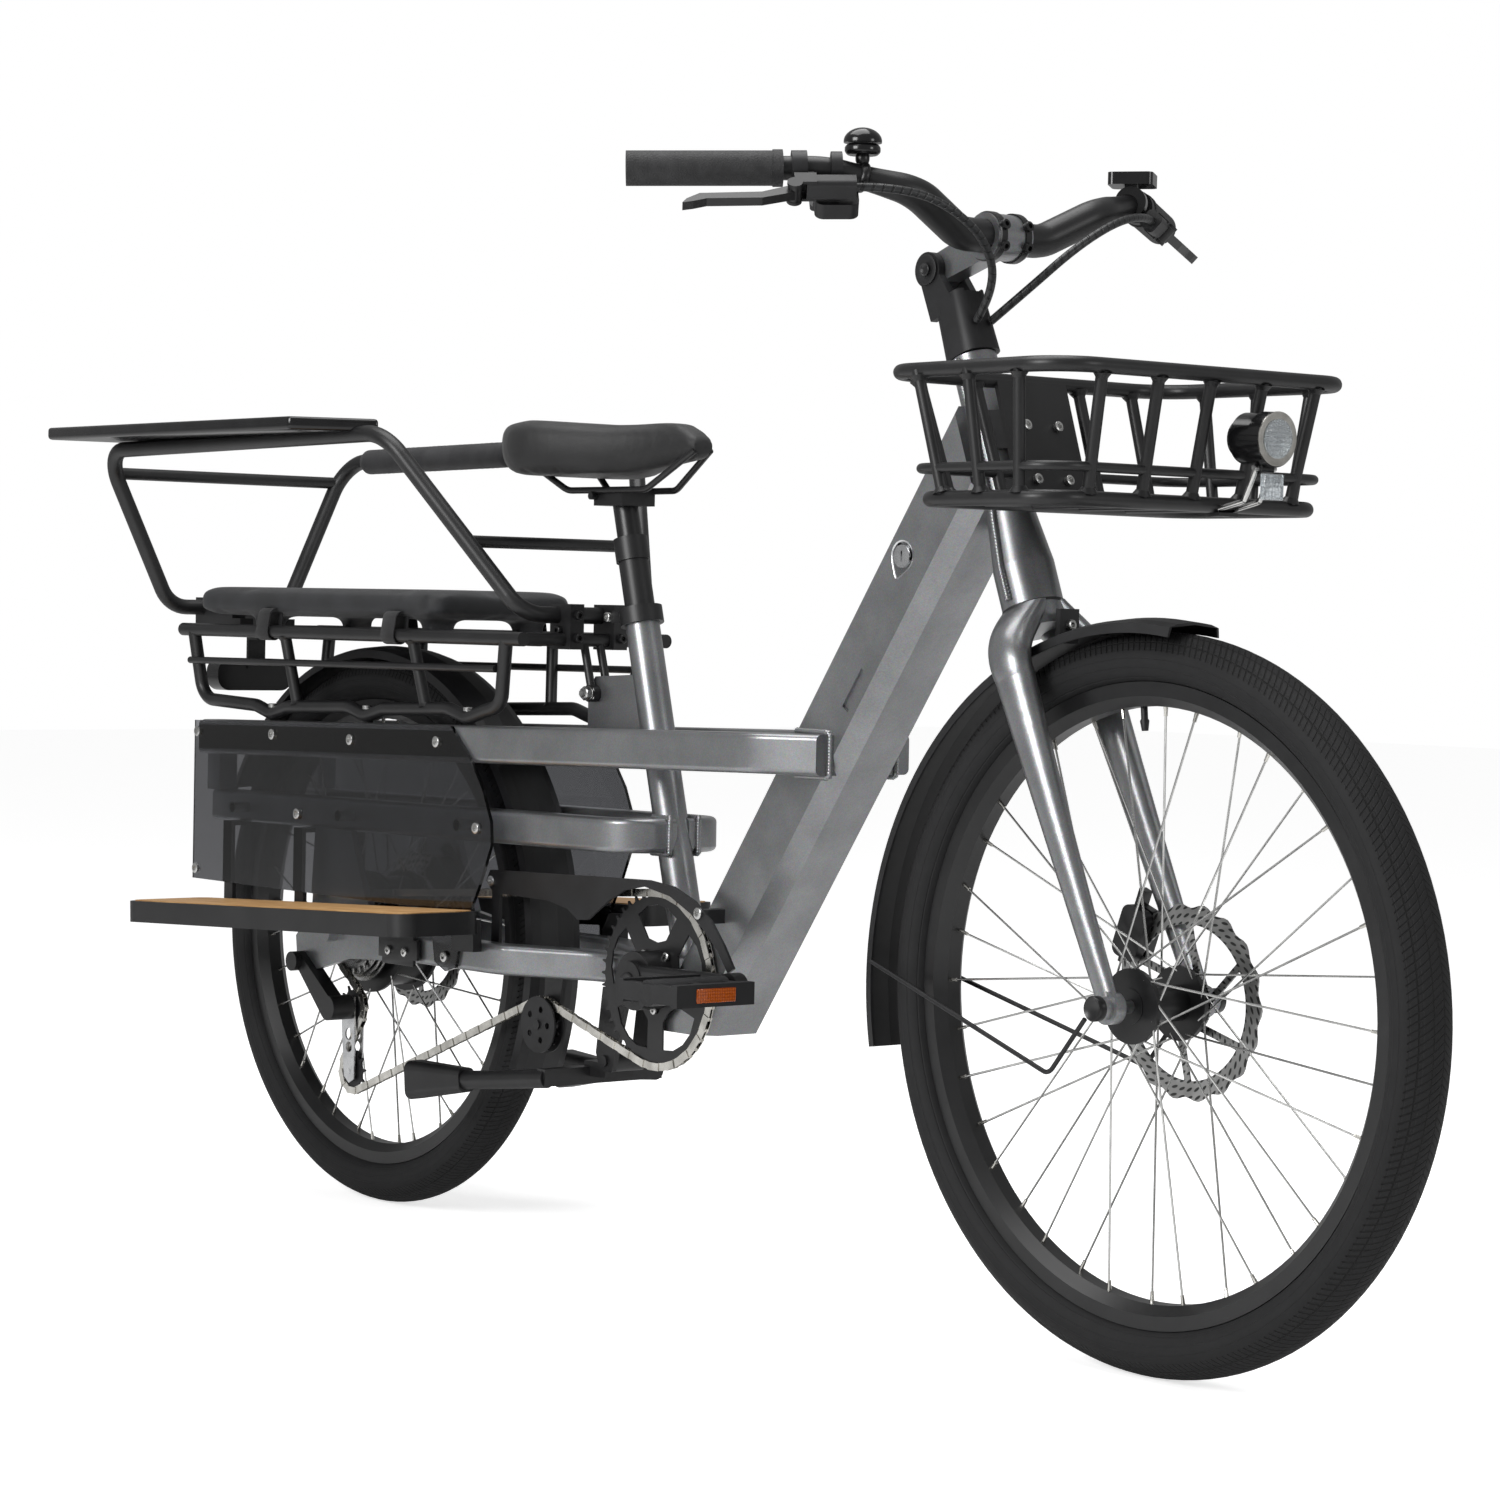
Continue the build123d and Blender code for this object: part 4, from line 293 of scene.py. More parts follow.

# %% [markdown]
# ## Tyres
# The tread is a close field of slanted ribs cut by thin grooves, and the walls are smooth with two
# fine ridges. The grooves are painted near-black, which is painted shade. The pattern needs an angle
# round the axle, so arctangent of the place gives it, and the side is told from the tread by the
# distance to the axle.

# %% Tyre rubber
def tyre_rubber(name, centre, tread_radius):
    """Road tyre with slanted ribs on the tread, painted shade in its grooves, and plain walls."""
    material, tree, shader = new_material(name, Roughness=0.72, IOR=1.5, Specular_IOR_Level=0.35)
    place = add(tree, "TexCoord").outputs["Object"]
    moved = add(tree, "Mapping", {"Location": (-centre[0], 0.0, -centre[1])}, {"Vector": place})
    axes = add(tree, "SeparateXYZ", {}, {"Vector": moved.outputs["Vector"]})
    turn = add(tree, "Math", {"operation": "ARCTAN2"}, {0: axes.outputs["Z"], 1: axes.outputs["X"]})
    across = add(tree, "Math", {"operation": "ABSOLUTE"}, {0: axes.outputs["Y"]})
    round_mm = add(tree, "Math", {"operation": "MULTIPLY", 1: tread_radius * 1000}, {0: turn.outputs[0]})
    slant = add(tree, "Math", {"operation": "MULTIPLY_ADD", 1: 900.0},
                {0: across.outputs[0], 2: round_mm.outputs[0]})
    rib = add(tree, "Math", {"operation": "PINGPONG", 1: 3.6}, {0: slant.outputs[0]})
    rib_edge = add(tree, "MapRange", {"From Min": 0.35, "From Max": 1.1}, {"Value": rib.outputs[0]})
    line = add(tree, "Math", {"operation": "MULTIPLY", 1: 1000.0}, {0: across.outputs[0]})
    lane = add(tree, "Math", {"operation": "PINGPONG", 1: 5.2}, {0: line.outputs[0]})
    lane_edge = add(tree, "MapRange", {"From Min": 0.15, "From Max": 0.6}, {"Value": lane.outputs[0]})
    blocks = add(tree, "Math", {"operation": "MULTIPLY"}, {0: rib_edge.outputs[0], 1: lane_edge.outputs[0]})
    flat = add(tree, "CombineXYZ", {}, {"X": axes.outputs["X"], "Z": axes.outputs["Z"]})
    reach = add(tree, "VectorMath", {"operation": "LENGTH"}, {0: flat.outputs["Vector"]})
    on_tread = add(tree, "MapRange", {"From Min": tread_radius - 0.017, "From Max": tread_radius - 0.0155},
                   {"Value": reach.outputs["Value"]})
    tread = add(tree, "Mix", {"data_type": "FLOAT", 2: 1.0}, {0: on_tread.outputs[0], 3: blocks.outputs[0]})
    ridge = add(tree, "Math", {"operation": "PINGPONG", 1: 0.0042}, {0: reach.outputs["Value"]})
    ridge_edge = add(tree, "MapRange", {"From Min": 0.0, "From Max": 0.0006, "To Min": 0.86, "To Max": 1.0},
                     {"Value": ridge.outputs[0]})
    height = add(tree, "Math", {"operation": "MULTIPLY"}, {0: tread.outputs[0], 1: ridge_edge.outputs[0]})
    relief(tree, shader, height.outputs[0], 2.4, 1.0)
    dust = add(tree, "TexNoise", {"Scale": 1000 / 14, "Detail": 5.0}, {"Vector": place})
    tone = add(tree, "ValToRGB", {}, {"Fac": dust.outputs["Fac"]})
    two_tones(tone, "#111112", "#1c1c1d")
    # Near-black in the grooves is painted shade, not the rubber's own colour.
    groove_painted_shade = add(tree, "Mix", {"data_type": "RGBA", 6: linear("#050505")},
                 {0: tread.outputs[0], 7: tone.outputs["Color"]})
    tree.links.new(groove_painted_shade.outputs[2], shader.inputs["Base Color"])
    return material


dress(tyre_rubber("front_tyre_rubber", (front_axle.x, front_axle.z),
                  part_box("front_tyre")[1][2] - front_axle.z), "front_tyre")
dress(tyre_rubber("rear_tyre_rubber", (rear_axle.x, rear_axle.z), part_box("rear_tyre")[1][2] - rear_axle.z),
      "rear_tyre")
print("tyres dressed")

# %% [markdown]
# ## Grips, panels and boards
# Grips are soft rubber with a fine diamond grain. The side panels are smoked acrylic: clear, dark
# and glossy, so the wheel shows through them. The boards are oiled plywood with grain along them.

# %% Grip rubber
def grip_rubber():
    """Soft rubber with a small raised pattern."""
    material, tree, shader = new_material("grip_rubber", Roughness=0.62, IOR=1.5)
    place = add(tree, "TexCoord").outputs["Object"]
    mottle(tree, shader, place, "#29292a", "#1c1c1d", 12)
    cells = add(tree, "TexVoronoi", {"Scale": 1000 / 2.4, "feature": "DISTANCE_TO_EDGE"}, {"Vector": place})
    edge = add(tree, "MapRange", {"From Max": 0.25}, {"Value": cells.outputs["Distance"]})
    relief(tree, shader, edge.outputs[0], 0.35, 0.6)
    return material


dress(grip_rubber(), "grips", "hoses")


# %% Smoked acrylic
def smoked_acrylic():
    """Clear dark acrylic sheet with a few hairline scratches."""
    material, tree, shader = new_material("smoked_acrylic", Roughness=0.04, IOR=1.49, Transmission_Weight=1.0)
    place = add(tree, "TexCoord").outputs["Object"]
    mottle(tree, shader, place, "#8b8c90", "#85868a", 200)
    hair = add(tree, "TexNoise", {"Scale": 1000 / 3, "Detail": 6.0}, {"Vector": place})
    relief(tree, shader, hair.outputs["Fac"], 0.002, 0.1)
    return material


dress(smoked_acrylic(), "side_panels")


# %% Oiled plywood
def oiled_plywood():
    """Birch plywood with grain that runs along the board."""
    material, tree, shader = new_material("oiled_plywood", Roughness=0.48)
    place = add(tree, "TexCoord").outputs["Object"]
    along = add(tree, "Mapping", {"Scale": (0.06, 1.0, 1.0)}, {"Vector": place})
    grain = add(tree, "TexNoise", {"Scale": 1000 / 4.5, "Detail": 8.0, "Distortion": 0.8},
                {"Vector": along.outputs["Vector"]})
    tone = add(tree, "ValToRGB", {}, {"Fac": grain.outputs["Fac"]})
    tone.color_ramp.elements[0].position, tone.color_ramp.elements[1].position = 0.3, 0.72
    two_tones(tone, "#a5743f", "#dcb27a")
    tree.links.new(tone.outputs["Color"], shader.inputs["Base Color"])
    relief(tree, shader, grain.outputs["Fac"], 0.15, 0.3)
    return material


dress(oiled_plywood(), "footboard_decks")
print("grips, panels and boards dressed")

# %% [markdown]
# ## Making small repeated parts
# A fastener is modelled once from a primitive, then copied to each place. All copies of one kind
# on one body become one mesh, which keeps the scene light.

# %% Helpers for new pieces
MM = 0.001
SIDES = ((-1, "right"), (1, "left"))
STEM_CLAMP = Vector((398, 0, 1034))
STEM_PIVOT = Vector((318, 0, 1007))
CRANK_X, CRANK_Z = -38, 302
steering = Vector((-0.35511, 0, 0.93483))
steering_foot = Vector((593.22, 0, 322.43))


def box_mm(node):
    """Low and high corners of a CAD node's box, in millimetres."""
    return [Vector(corner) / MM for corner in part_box(node)]


def along_head(distance, forward=0.0, y=0.0):
    """A point along the steering axis from its foot, moved ahead and across, in millimetres."""
    return steering_foot + steering * distance + Vector((0.93483, 0, 0.35511)) * forward + Vector((0, y, 0))


def start_piece(name):
    """Name the active object after its primitive was added, and leave only it selected."""
    piece = bpy.context.object
    piece.name = piece.data.name = name
    return piece


def apply_all(piece):
    """Apply a piece's place, turn, scale and modifiers, so its object sits at the origin."""
    bpy.ops.object.select_all(action="DESELECT")
    bpy.context.view_layer.objects.active = piece
    piece.select_set(True)
    bpy.ops.object.transform_apply(location=True, rotation=True, scale=True)
    for modifier in list(piece.modifiers):
        bpy.ops.object.modifier_apply(modifier=modifier.name)
    return piece


def settle(piece, material, body, smooth=40):
    """Give a finished piece its material, body and soft shading."""
    apply_all(piece)
    piece.data.materials.clear()
    piece.data.materials.append(material)
    bpy.ops.object.shade_smooth_by_angle(angle=radians(smooth))
    piece.select_set(False)
    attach(piece, body)
    return piece


def select_faces(test):
    """In edit mode, select only the faces whose middle and normal pass a test."""
    mesh = bmesh.from_edit_mesh(bpy.context.object.data)
    count = 0
    for face in mesh.faces:
        keep = bool(test(face.calc_center_median(), face.normal))
        face.select_set(keep)
        count += keep
    mesh.select_flush_mode()
    bmesh.update_edit_mesh(bpy.context.object.data)
    return count


def edit_faces(test):
    """Enter edit mode on the active piece with faces as the unit, and select those that pass a test."""
    bpy.ops.object.mode_set(mode="EDIT")
    bpy.ops.mesh.select_mode(type="FACE")
    return select_faces(test)


def on_top(middle, normal):
    """True for faces that look straight up."""
    return normal.z > 0.9


def underneath(middle, normal):
    """True for faces that look straight down."""
    return normal.z < -0.9


def standing_cylinder(name, radius, height, sides):
    """A cylinder primitive of a size in millimetres, standing on z = 0."""
    bpy.ops.mesh.primitive_cylinder_add(vertices=sides, radius=radius * MM, depth=height * MM,
                                        location=(0, 0, height * MM / 2))
    return start_piece(name)


def pull_up(height, widen=1.0):
    """Extrude the selected faces by a height in millimetres, then scale them about their middle."""
    bpy.ops.mesh.extrude_region_move(TRANSFORM_OT_translate={"value": (0, 0, height * MM)})
    if widen != 1.0:
        bpy.ops.transform.resize(value=(widen, widen, 1))


def shift_up(height):
    """Move the selected faces up by a height in millimetres."""
    bpy.ops.transform.translate(value=(0, 0, height * MM))


def link_mesh(name, mesh_data):
    """Put a mesh into the scene as an object."""
    piece = bpy.data.objects.new(name, mesh_data)
    bpy.context.scene.collection.objects.link(piece)
    return piece


def copies(name, model, places, material, body, smooth=40):
    """Copy one modelled part to many places as one mesh."""
    joined = bmesh.new()
    for place in places:
        part = model.data.copy()
        part.transform(place)
        joined.from_mesh(part)
        bpy.data.meshes.remove(part)
    mesh = bpy.data.meshes.new(name)
    joined.to_mesh(mesh)
    joined.free()
    piece = link_mesh(name, mesh)
    return settle(piece, material, body, smooth)


def facing(point, direction, spin=0.0):
    """Place that sets a part's +Z axis along a direction at a point given in millimetres."""
    turn = Vector((0, 0, 1)).rotation_difference(Vector(direction).normalized()).to_matrix().to_4x4()
    return Matrix.Translation(Vector(point) * MM) @ turn @ Matrix.Rotation(spin, 4, "Z")


def on_both_sides(points, direction=None):
    """Mirrored places at points in millimetres, each facing outward or along one given direction."""
    return [facing((x, side * y, z), direction or (0, side, 0)) for side, _ in SIDES for x, y, z in points]


def block(name, size, centre):
    """A cube primitive brought to a size at a centre, both in millimetres."""
    bpy.ops.mesh.primitive_cube_add(size=1, location=(0, 0, 0))
    piece = start_piece(name)
    piece.scale = Vector(size) * MM
    piece.location = Vector(centre) * MM
    bpy.ops.object.transform_apply(location=True, rotation=True, scale=True)
    return piece


def button_head(radius, height, sides=18):
    """Round-topped screw head with a recess for the key, its seat at z = 0."""
    head = standing_cylinder("button_head", radius, height, sides)
    edit_faces(on_top)
    bpy.ops.mesh.inset(thickness=radius * 0.22 * MM)
    shift_up(height * 0.3)
    bpy.ops.mesh.inset(thickness=radius * 0.28 * MM)
    pull_up(-height * 0.7)
    bpy.ops.object.mode_set(mode="OBJECT")
    return apply_all(head)


def scrap(model):
    """Remove a model once its copies are made."""
    bpy.data.objects.remove(model, do_unlink=True)


print("helpers ready")

# %% [markdown]
# ## Screws of the side panels, guard and boards
# Stainless button-head screws with washers hold each acrylic panel to the frame.

# %% Button-head screws
panel_face = max(abs(v[1]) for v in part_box("side_panels")) / MM
panel_spots = [(-854, 527), (-693, 529), (-533, 529), (-366, 533), (-638, 441), (-290, 444), (-854, 366),
               (-344, 303)]
screw = button_head(6.0, 2.8)
panel_places = on_both_sides([(x, panel_face, z) for x, z in panel_spots])
copies("panel_screws", screw, panel_places, stainless, "frame")
guard_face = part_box("chain_guard")[0][1] / MM
guard_places = [facing((x, guard_face + 0.2, z), (0, -1, 0)) for x, z in ((-302, 386), (52, 377))]
copies("guard_screws", screw, guard_places, stainless, "frame")
scrap(screw)
print("screws:", len(panel_places) + len(guard_places))

# %% [markdown]
# ## Spoke nipples and valves
# Each spoke ends in a small nickel nipple that pulls on the rim. It is a tapered eight-sided
# sleeve. The valve is a knurled stem with a cap.

# %% Nipples and valve stems
def wheel_fittings(tag, axle, rim_inner, turn, hub_reach, hub_half, cross, body):
    """Nipples on all the spokes of one wheel, and its valve."""
    bpy.ops.mesh.primitive_cone_add(vertices=8, radius1=2.6 * MM, radius2=1.7 * MM, depth=11 * MM,
                                    location=(0, 0, 5.5 * MM))
    nipple = start_piece("nipple")
    edit_faces(on_top)
    pull_up(3)
    bpy.ops.object.mode_set(mode="OBJECT")
    places = []
    for index in range(36):
        angle = radians(turn + 10 * index)
        side = 1 if index % 2 else -1
        lean = cross if index % 4 < 2 else -cross
        layer = 1.5 if index % 4 < 2 else -1.5
        rim_point = Vector((axle.x / MM + rim_inner * cos(angle), side * 4.0,
                            axle.z / MM + rim_inner * sin(angle)))
        hub_point = Vector((axle.x / MM + hub_reach * cos(angle + radians(lean)), side * (hub_half + layer),
                            axle.z / MM + hub_reach * sin(angle + radians(lean))))
        inward = (hub_point - rim_point).normalized()
        places.append(facing(rim_point + inward * 0.5, inward))
    copies(f"{tag}_nipples", nipple, places, nickel, body)
    scrap(nipple)
    bpy.ops.mesh.primitive_cylinder_add(vertices=14, radius=3.2 * MM, depth=26 * MM, location=(0, 0, 13 * MM))
    stem = start_piece("valve")
    edit_faces(on_top)
    pull_up(2, 1.35)
    pull_up(9, 0.7)
    bpy.ops.object.mode_set(mode="OBJECT")
    angle = radians(turn + 95)
    spot = (axle.x / MM + (rim_inner + 2) * cos(angle), 0, axle.z / MM + (rim_inner + 2) * sin(angle))
    copies(f"{tag}_valve", stem, [facing(spot, (-cos(angle), 0, -sin(angle)))], nylon, body)
    scrap(stem)
    return len(places)


print("front nipples", wheel_fittings("front", front_axle, 267.9, 0.1, 29.0, 30.0, 58, "front_wheel"))
print("rear nipples", wheel_fittings("rear", rear_axle, 241.9, 5.6, 65.0, 24.0, 28, "rear_wheel"))

# %% [markdown]
# ## Weld beads
# The aluminium tubes are welded by hand, and the bead shows as a row of overlapping ripples under
# the lacquer. A bead is a thin tube along the joint whose radius swells and sinks every 3 mm.

# %% Rippled weld beads
def weld_bead(name, corners, radius=3.2, ripple=3.0, body="frame", closed=True):
    """A rippled bead along straight runs between corner points in millimetres."""
    route = [Vector(c) for c in corners] + ([Vector(corners[0])] if closed else [])
    centres = []
    for here, there in zip(route, route[1:]):
        steps = max(1, int((there - here).length / (ripple / 3)))
        centres += [here.lerp(there, i / steps) for i in range(steps)]
    bead = bmesh.new()
    rings = []
    for index, centre in enumerate(centres):
        if closed or index + 1 < len(centres):
            ahead_of = centres[(index + 1) % len(centres)]
        else:
            ahead_of = centre * 2 - centres[index - 1]
        axis = (ahead_of - centre).normalized()
        side = axis.orthogonal().normalized()
        other = axis.cross(side)
        swell = radius * (0.86 + 0.22 * abs(sin(pi * index / 3)))
        spokes = [side * cos(tau * k / 8) + other * sin(tau * k / 8) for k in range(8)]
        rings.append([bead.verts.new((centre + spoke * swell) * MM) for spoke in spokes])
    last = len(rings) if closed else len(rings) - 1
    for index in range(last):
        ring, following = rings[index], rings[(index + 1) % len(rings)]
        shift = min(range(8), key=lambda s: (following[s].co - ring[0].co).length)
        for k in range(8):
            bead.faces.new((ring[k], ring[(k + 1) % 8], following[(k + 1 + shift) % 8],
                            following[(k + shift) % 8]))
    if not closed:
        bead.faces.new(list(reversed(rings[0])))
        bead.faces.new(rings[-1])
    bmesh.ops.recalc_face_normals(bead, faces=bead.faces)
    mesh = bpy.data.meshes.new(name)
    bead.to_mesh(mesh)
    bead.free()
    piece = link_mesh(name, mesh)
    return settle(piece, frame_paint, body, 80)


upper_bead_run = ((168, 42.5, 564), (217, 43, 563.5), (220, 43, 560), (220, 43, 524), (217, 43, 520.5),
                  (168, 42.5, 520))
middle_bead_run = ((-88, 428.5), (-58, 428.5), (-58, 465.5), (-88, 465.5))
head_bead_run = ((398, 30.5), (431, 30.5), (491, 23.5), (640, 23.5))
for side, tag in SIDES:
    weld_bead(f"upper_rail_bead_{tag}", [(x, side * y, z) for x, y, z in upper_bead_run], 3.4, closed=False)
    weld_bead(f"middle_rail_bead_{tag}", [(x, side * 19, z) for x, z in middle_bead_run], 3.0)
    head_corners = [along_head(a, 0.0, side * r) + Vector((1, 0, 0)) for a, r in head_bead_run]
    weld_bead(f"head_bead_{tag}", head_corners, 3.6, 3.4, closed=False)
print("weld beads laid")

# %% [markdown]
# ## Saddle and bench cushion
# Both are foam under synthetic leather. The bench starts as its plain block, is cut into small even
# faces, and is blown up a little as cloth so that its sides round out between the corners.

# %% Synthetic leather
def synthetic_leather(name, light, dark, roughness, grain_mm=1.1, depth_mm=0.16):
    """Pressed vinyl grain with a soft sheen."""
    material, tree, shader = new_material(name, Roughness=roughness, Sheen_Weight=0.12,
                                          Specular_IOR_Level=0.4)
    place = add(tree, "TexCoord").outputs["Object"]
    mottle(tree, shader, place, light, dark, 28)
    cells = add(tree, "TexVoronoi", {"Scale": 1000 / grain_mm, "feature": "DISTANCE_TO_EDGE",
                                     "Randomness": 0.85}, {"Vector": place})
    grain = add(tree, "MapRange", {"From Max": 0.3}, {"Value": cells.outputs["Distance"]})
    relief(tree, shader, grain.outputs[0], depth_mm, 0.5)
    return material


saddle_vinyl = synthetic_leather("saddle_vinyl", "#171718", "#0e0e0f", 0.46)
bench_vinyl = synthetic_leather("bench_vinyl", "#222326", "#18191b", 0.55, 1.6, 0.2)


def soft_copy(name, node, voxel_mm, cap_mm, pressure=4.0):
    """A padded copy of a CAD solid: even faces, blown up as cloth, each point moved at most cap_mm."""
    piece = link_mesh(name, nodes[node].data.copy())
    bpy.ops.object.select_all(action="DESELECT")
    bpy.context.view_layer.objects.active = piece
    piece.select_set(True)
    bpy.ops.object.mode_set(mode="EDIT")
    bpy.ops.mesh.select_all(action="SELECT")
    bpy.ops.mesh.remove_doubles(threshold=0.00001)
    bpy.ops.object.mode_set(mode="OBJECT")
    remesh = piece.modifiers.new("even", "REMESH")
    remesh.mode, remesh.voxel_size = "VOXEL", voxel_mm * MM
    smooth = piece.modifiers.new("relax", "SMOOTH")
    smooth.iterations, smooth.factor = 6, 0.6
    apply_all(piece)
    rest = [v.co.copy() for v in piece.data.vertices]
    cloth = piece.modifiers.new("air", "CLOTH")
    cloth.settings.use_pressure = True
    cloth.settings.uniform_pressure_force = pressure
    cloth.settings.effector_weights.gravity = 0
    scene = bpy.context.scene
    for step in range(1, 21):
        scene.frame_set(step)
    blown = piece.evaluated_get(bpy.context.evaluated_depsgraph_get()).data
    moved = [v.co.copy() for v in blown.vertices]
    piece.modifiers.remove(cloth)
    scene.frame_set(1)
    for vertex, was, now in zip(piece.data.vertices, rest, moved):
        step = now - was
        vertex.co = was + step * min(1.0, cap_mm * MM / max(step.length, 1e-9))
    fine = piece.modifiers.new("fine", "SUBSURF")
    fine.levels = fine.render_levels = 1
    return apply_all(piece)


# %% Bench cushion
bench = soft_copy("bench_cushion", "seat_pad", 5, 5)
settle(bench, bench_vinyl, "frame", 60)
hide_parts("seat_pad")
print("bench cushion faces", len(bench.data.polygons))

# %% Saddle
SADDLE_BELLY = 16
saddle = soft_copy("saddle_cover", "saddle", 4, 3)
saddle_low, saddle_high = [v[2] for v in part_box("saddle")]
for vertex in saddle.data.vertices:
    depth = min(1.0, max(0.0, (saddle_high - vertex.co.z) / (saddle_high - saddle_low)))
    vertex.co.z -= SADDLE_BELLY * MM * depth ** 2
settle(saddle, saddle_vinyl, "sprung_post", 60)
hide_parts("saddle")
print("saddle faces", len(saddle.data.polygons))

# %% [markdown]
# ## Bolts and nuts
# Black socket-head screws hold the hoop clamps, the stem and the seat collar. Stainless bolts with
# domed nuts hold the rack, the basket plate and the mudguard. Each kind is modelled once: a socket
# head is a short cylinder with a sunk hexagon, and a nut is a six-sided block with a turned face.

# %% Socket heads and hexagon nuts
def socket_head(radius, height, sides=20):
    """Cylinder-head screw with a chamfered rim and a sunk six-sided socket."""
    head = standing_cylinder("socket_head", radius, height, sides)
    edit_faces(on_top)
    bpy.ops.mesh.inset(thickness=radius * 0.14 * MM)
    shift_up(height * 0.12)
    bpy.ops.mesh.inset(thickness=radius * 0.36 * MM)
    pull_up(-height * 0.6)
    bpy.ops.object.mode_set(mode="OBJECT")
    return apply_all(head)


def hexagon_nut(radius, height):
    """Six-sided nut on a washer, with the bolt's round end standing out of it."""
    nut = standing_cylinder("hexagon_nut", radius, height, 6)
    edit_faces(on_top)
    bpy.ops.mesh.inset(thickness=radius * 0.12 * MM)
    shift_up(height * 0.12)
    bpy.ops.mesh.inset(thickness=radius * 0.3 * MM)
    pull_up(height * 0.5)
    select_faces(underneath)
    pull_up(-1.0, 1.35)
    bpy.ops.object.mode_set(mode="OBJECT")
    return apply_all(nut)


black_screw, steel_screw, nut = socket_head(5.0, 5.0), socket_head(5.0, 4.0), hexagon_nut(7.5, 6.0)
rack_foot_y, foot_bolts_x = 84, (-715, -522, -329)


def rail_top(x):
    """Height of the upper frame rail's top face, in millimetres."""
    return 562 - (150 - x) * 0.02095


foot_places = on_both_sides([(x, rack_foot_y, rail_top(x) + 15.2) for x in foot_bolts_x], (0, 0, 1))
copies("rack_foot_bolts", steel_screw, foot_places, stainless, "frame")
copies("gusset_nuts", nut, on_both_sides([(-206, 15.7, 590)]), stainless, "frame")
clamp_places = on_both_sides([(-210, 29, 648), (-210, 29, 672)], (1, 0, 0)) + on_both_sides([(-228, 38, 656)])
copies("hoop_clamp_screws", black_screw, clamp_places, anodised_black, "frame")
print("bolts at", len(foot_places) + len(clamp_places) + 2, "places")

# %% Bolts of the basket, the mudguard and the stem
plate_slope = Vector((114, 0, 38)).normalized()
plate_places = [facing((x, y, z), plate_slope) for x, z in ((459, 856), (475.6, 806)) for y in (-20, 20)]
copies("basket_plate_bolts", steel_screw, plate_places, stainless, "frame")
copies("crown_bolt", steel_screw, [facing((503, 0, 673), (1, 0, 0.1))], stainless, "steering")
stem_front = STEM_CLAMP + Vector((21.7, 0, 0))
face_places = [facing(stem_front + Vector((-2, y, dz)), (1, 0, dz / 30)) for y in (-15, 15) for dz in (-9, 9)]
copies("stem_face_screws", black_screw, face_places, anodised_black, "bar")
copies("seat_collar_bolt", steel_screw, on_both_sides([(-181, 9, 671)]), stainless, "frame")
for model in (black_screw, steel_screw, nut):
    scrap(model)
print("basket, mudguard, stem and collar bolts set")

# %% [markdown]
# ## Footboard plates
# Each board hangs on a flat steel plate that is screwed to the frame beside the wheel. The plate is
# cut from sheet, so it starts as a thin slab whose lower corners are clipped and edges rounded.

# %% Footboard plates
def footboard_plate(side, tag):
    """Screwed steel plate between the frame and a footboard."""
    plate = block(f"footboard_plate_{tag}", (74, 4, 36), (-431, side * 97.5, 305))
    bpy.ops.object.mode_set(mode="EDIT")
    mesh = bmesh.from_edit_mesh(plate.data)
    corners = [e for e in mesh.edges if abs(e.verts[0].co.y - e.verts[1].co.y) > 0.003]
    bmesh.ops.bevel(mesh, geom=corners, offset=7 * MM, segments=4, affect="EDGES")
    bmesh.update_edit_mesh(plate.data)
    bpy.ops.object.mode_set(mode="OBJECT")
    edge = plate.modifiers.new("edge", "BEVEL")
    edge.width, edge.segments, edge.limit_method = 0.6 * MM, 2, "ANGLE"
    return settle(plate, black_powder, "frame")


board_screw = button_head(5.0, 2.6)
for side, tag in SIDES:
    footboard_plate(side, tag)
board_places = on_both_sides([(-447, 99.5, 302), (-416, 99.5, 302)])
copies("footboard_screws", board_screw, board_places, stainless, "frame")
scrap(board_screw)
print("footboard plates made")

# %% [markdown]
# ## Headset, crank and lock trim
# A black rubber seal closes the joint between the head tube and the fork. The crank ends under a
# dust cap, five bolts clamp the chainring, and the key lock sits in a drop-shaped plate.

# %% Turned trim rings
def turned_cap(name, radius, height, dish, place, material, body, sides=36):
    """A round cap with a chamfered rim and a dished middle, seated at a place."""
    cap = standing_cylinder(name, radius, height, sides)
    edit_faces(on_top)
    bpy.ops.mesh.inset(thickness=radius * 0.1 * MM)
    shift_up(height * 0.2)
    bpy.ops.mesh.inset(thickness=radius * 0.3 * MM)
    shift_up(-dish)
    bpy.ops.object.mode_set(mode="OBJECT")
    cap.matrix_world = place
    return settle(cap, material, body, 50)


turned_cap("headset_seal", 29.6, 2.6, 0.0, facing(along_head(390.6), steering), nylon, "frame", 48)
for side, tag in SIDES:
    turned_cap(f"crank_cap_{tag}", 9.5, 2.2, 0.8, facing((CRANK_X, side * 86.1, CRANK_Z), (0, side, 0)),
               anodised_black, "crank")
ring_bolt = button_head(4.6, 2.4)
bolt_angles = [radians(a) for a in range(54, 414, 72)]
bolt_places = [facing((CRANK_X + 31 * cos(a), -50.2, CRANK_Z + 31 * sin(a)), (0, -1, 0)) for a in bolt_angles]
copies("chainring_bolts", ring_bolt, bolt_places, stainless, "crank")
scrap(ring_bolt)


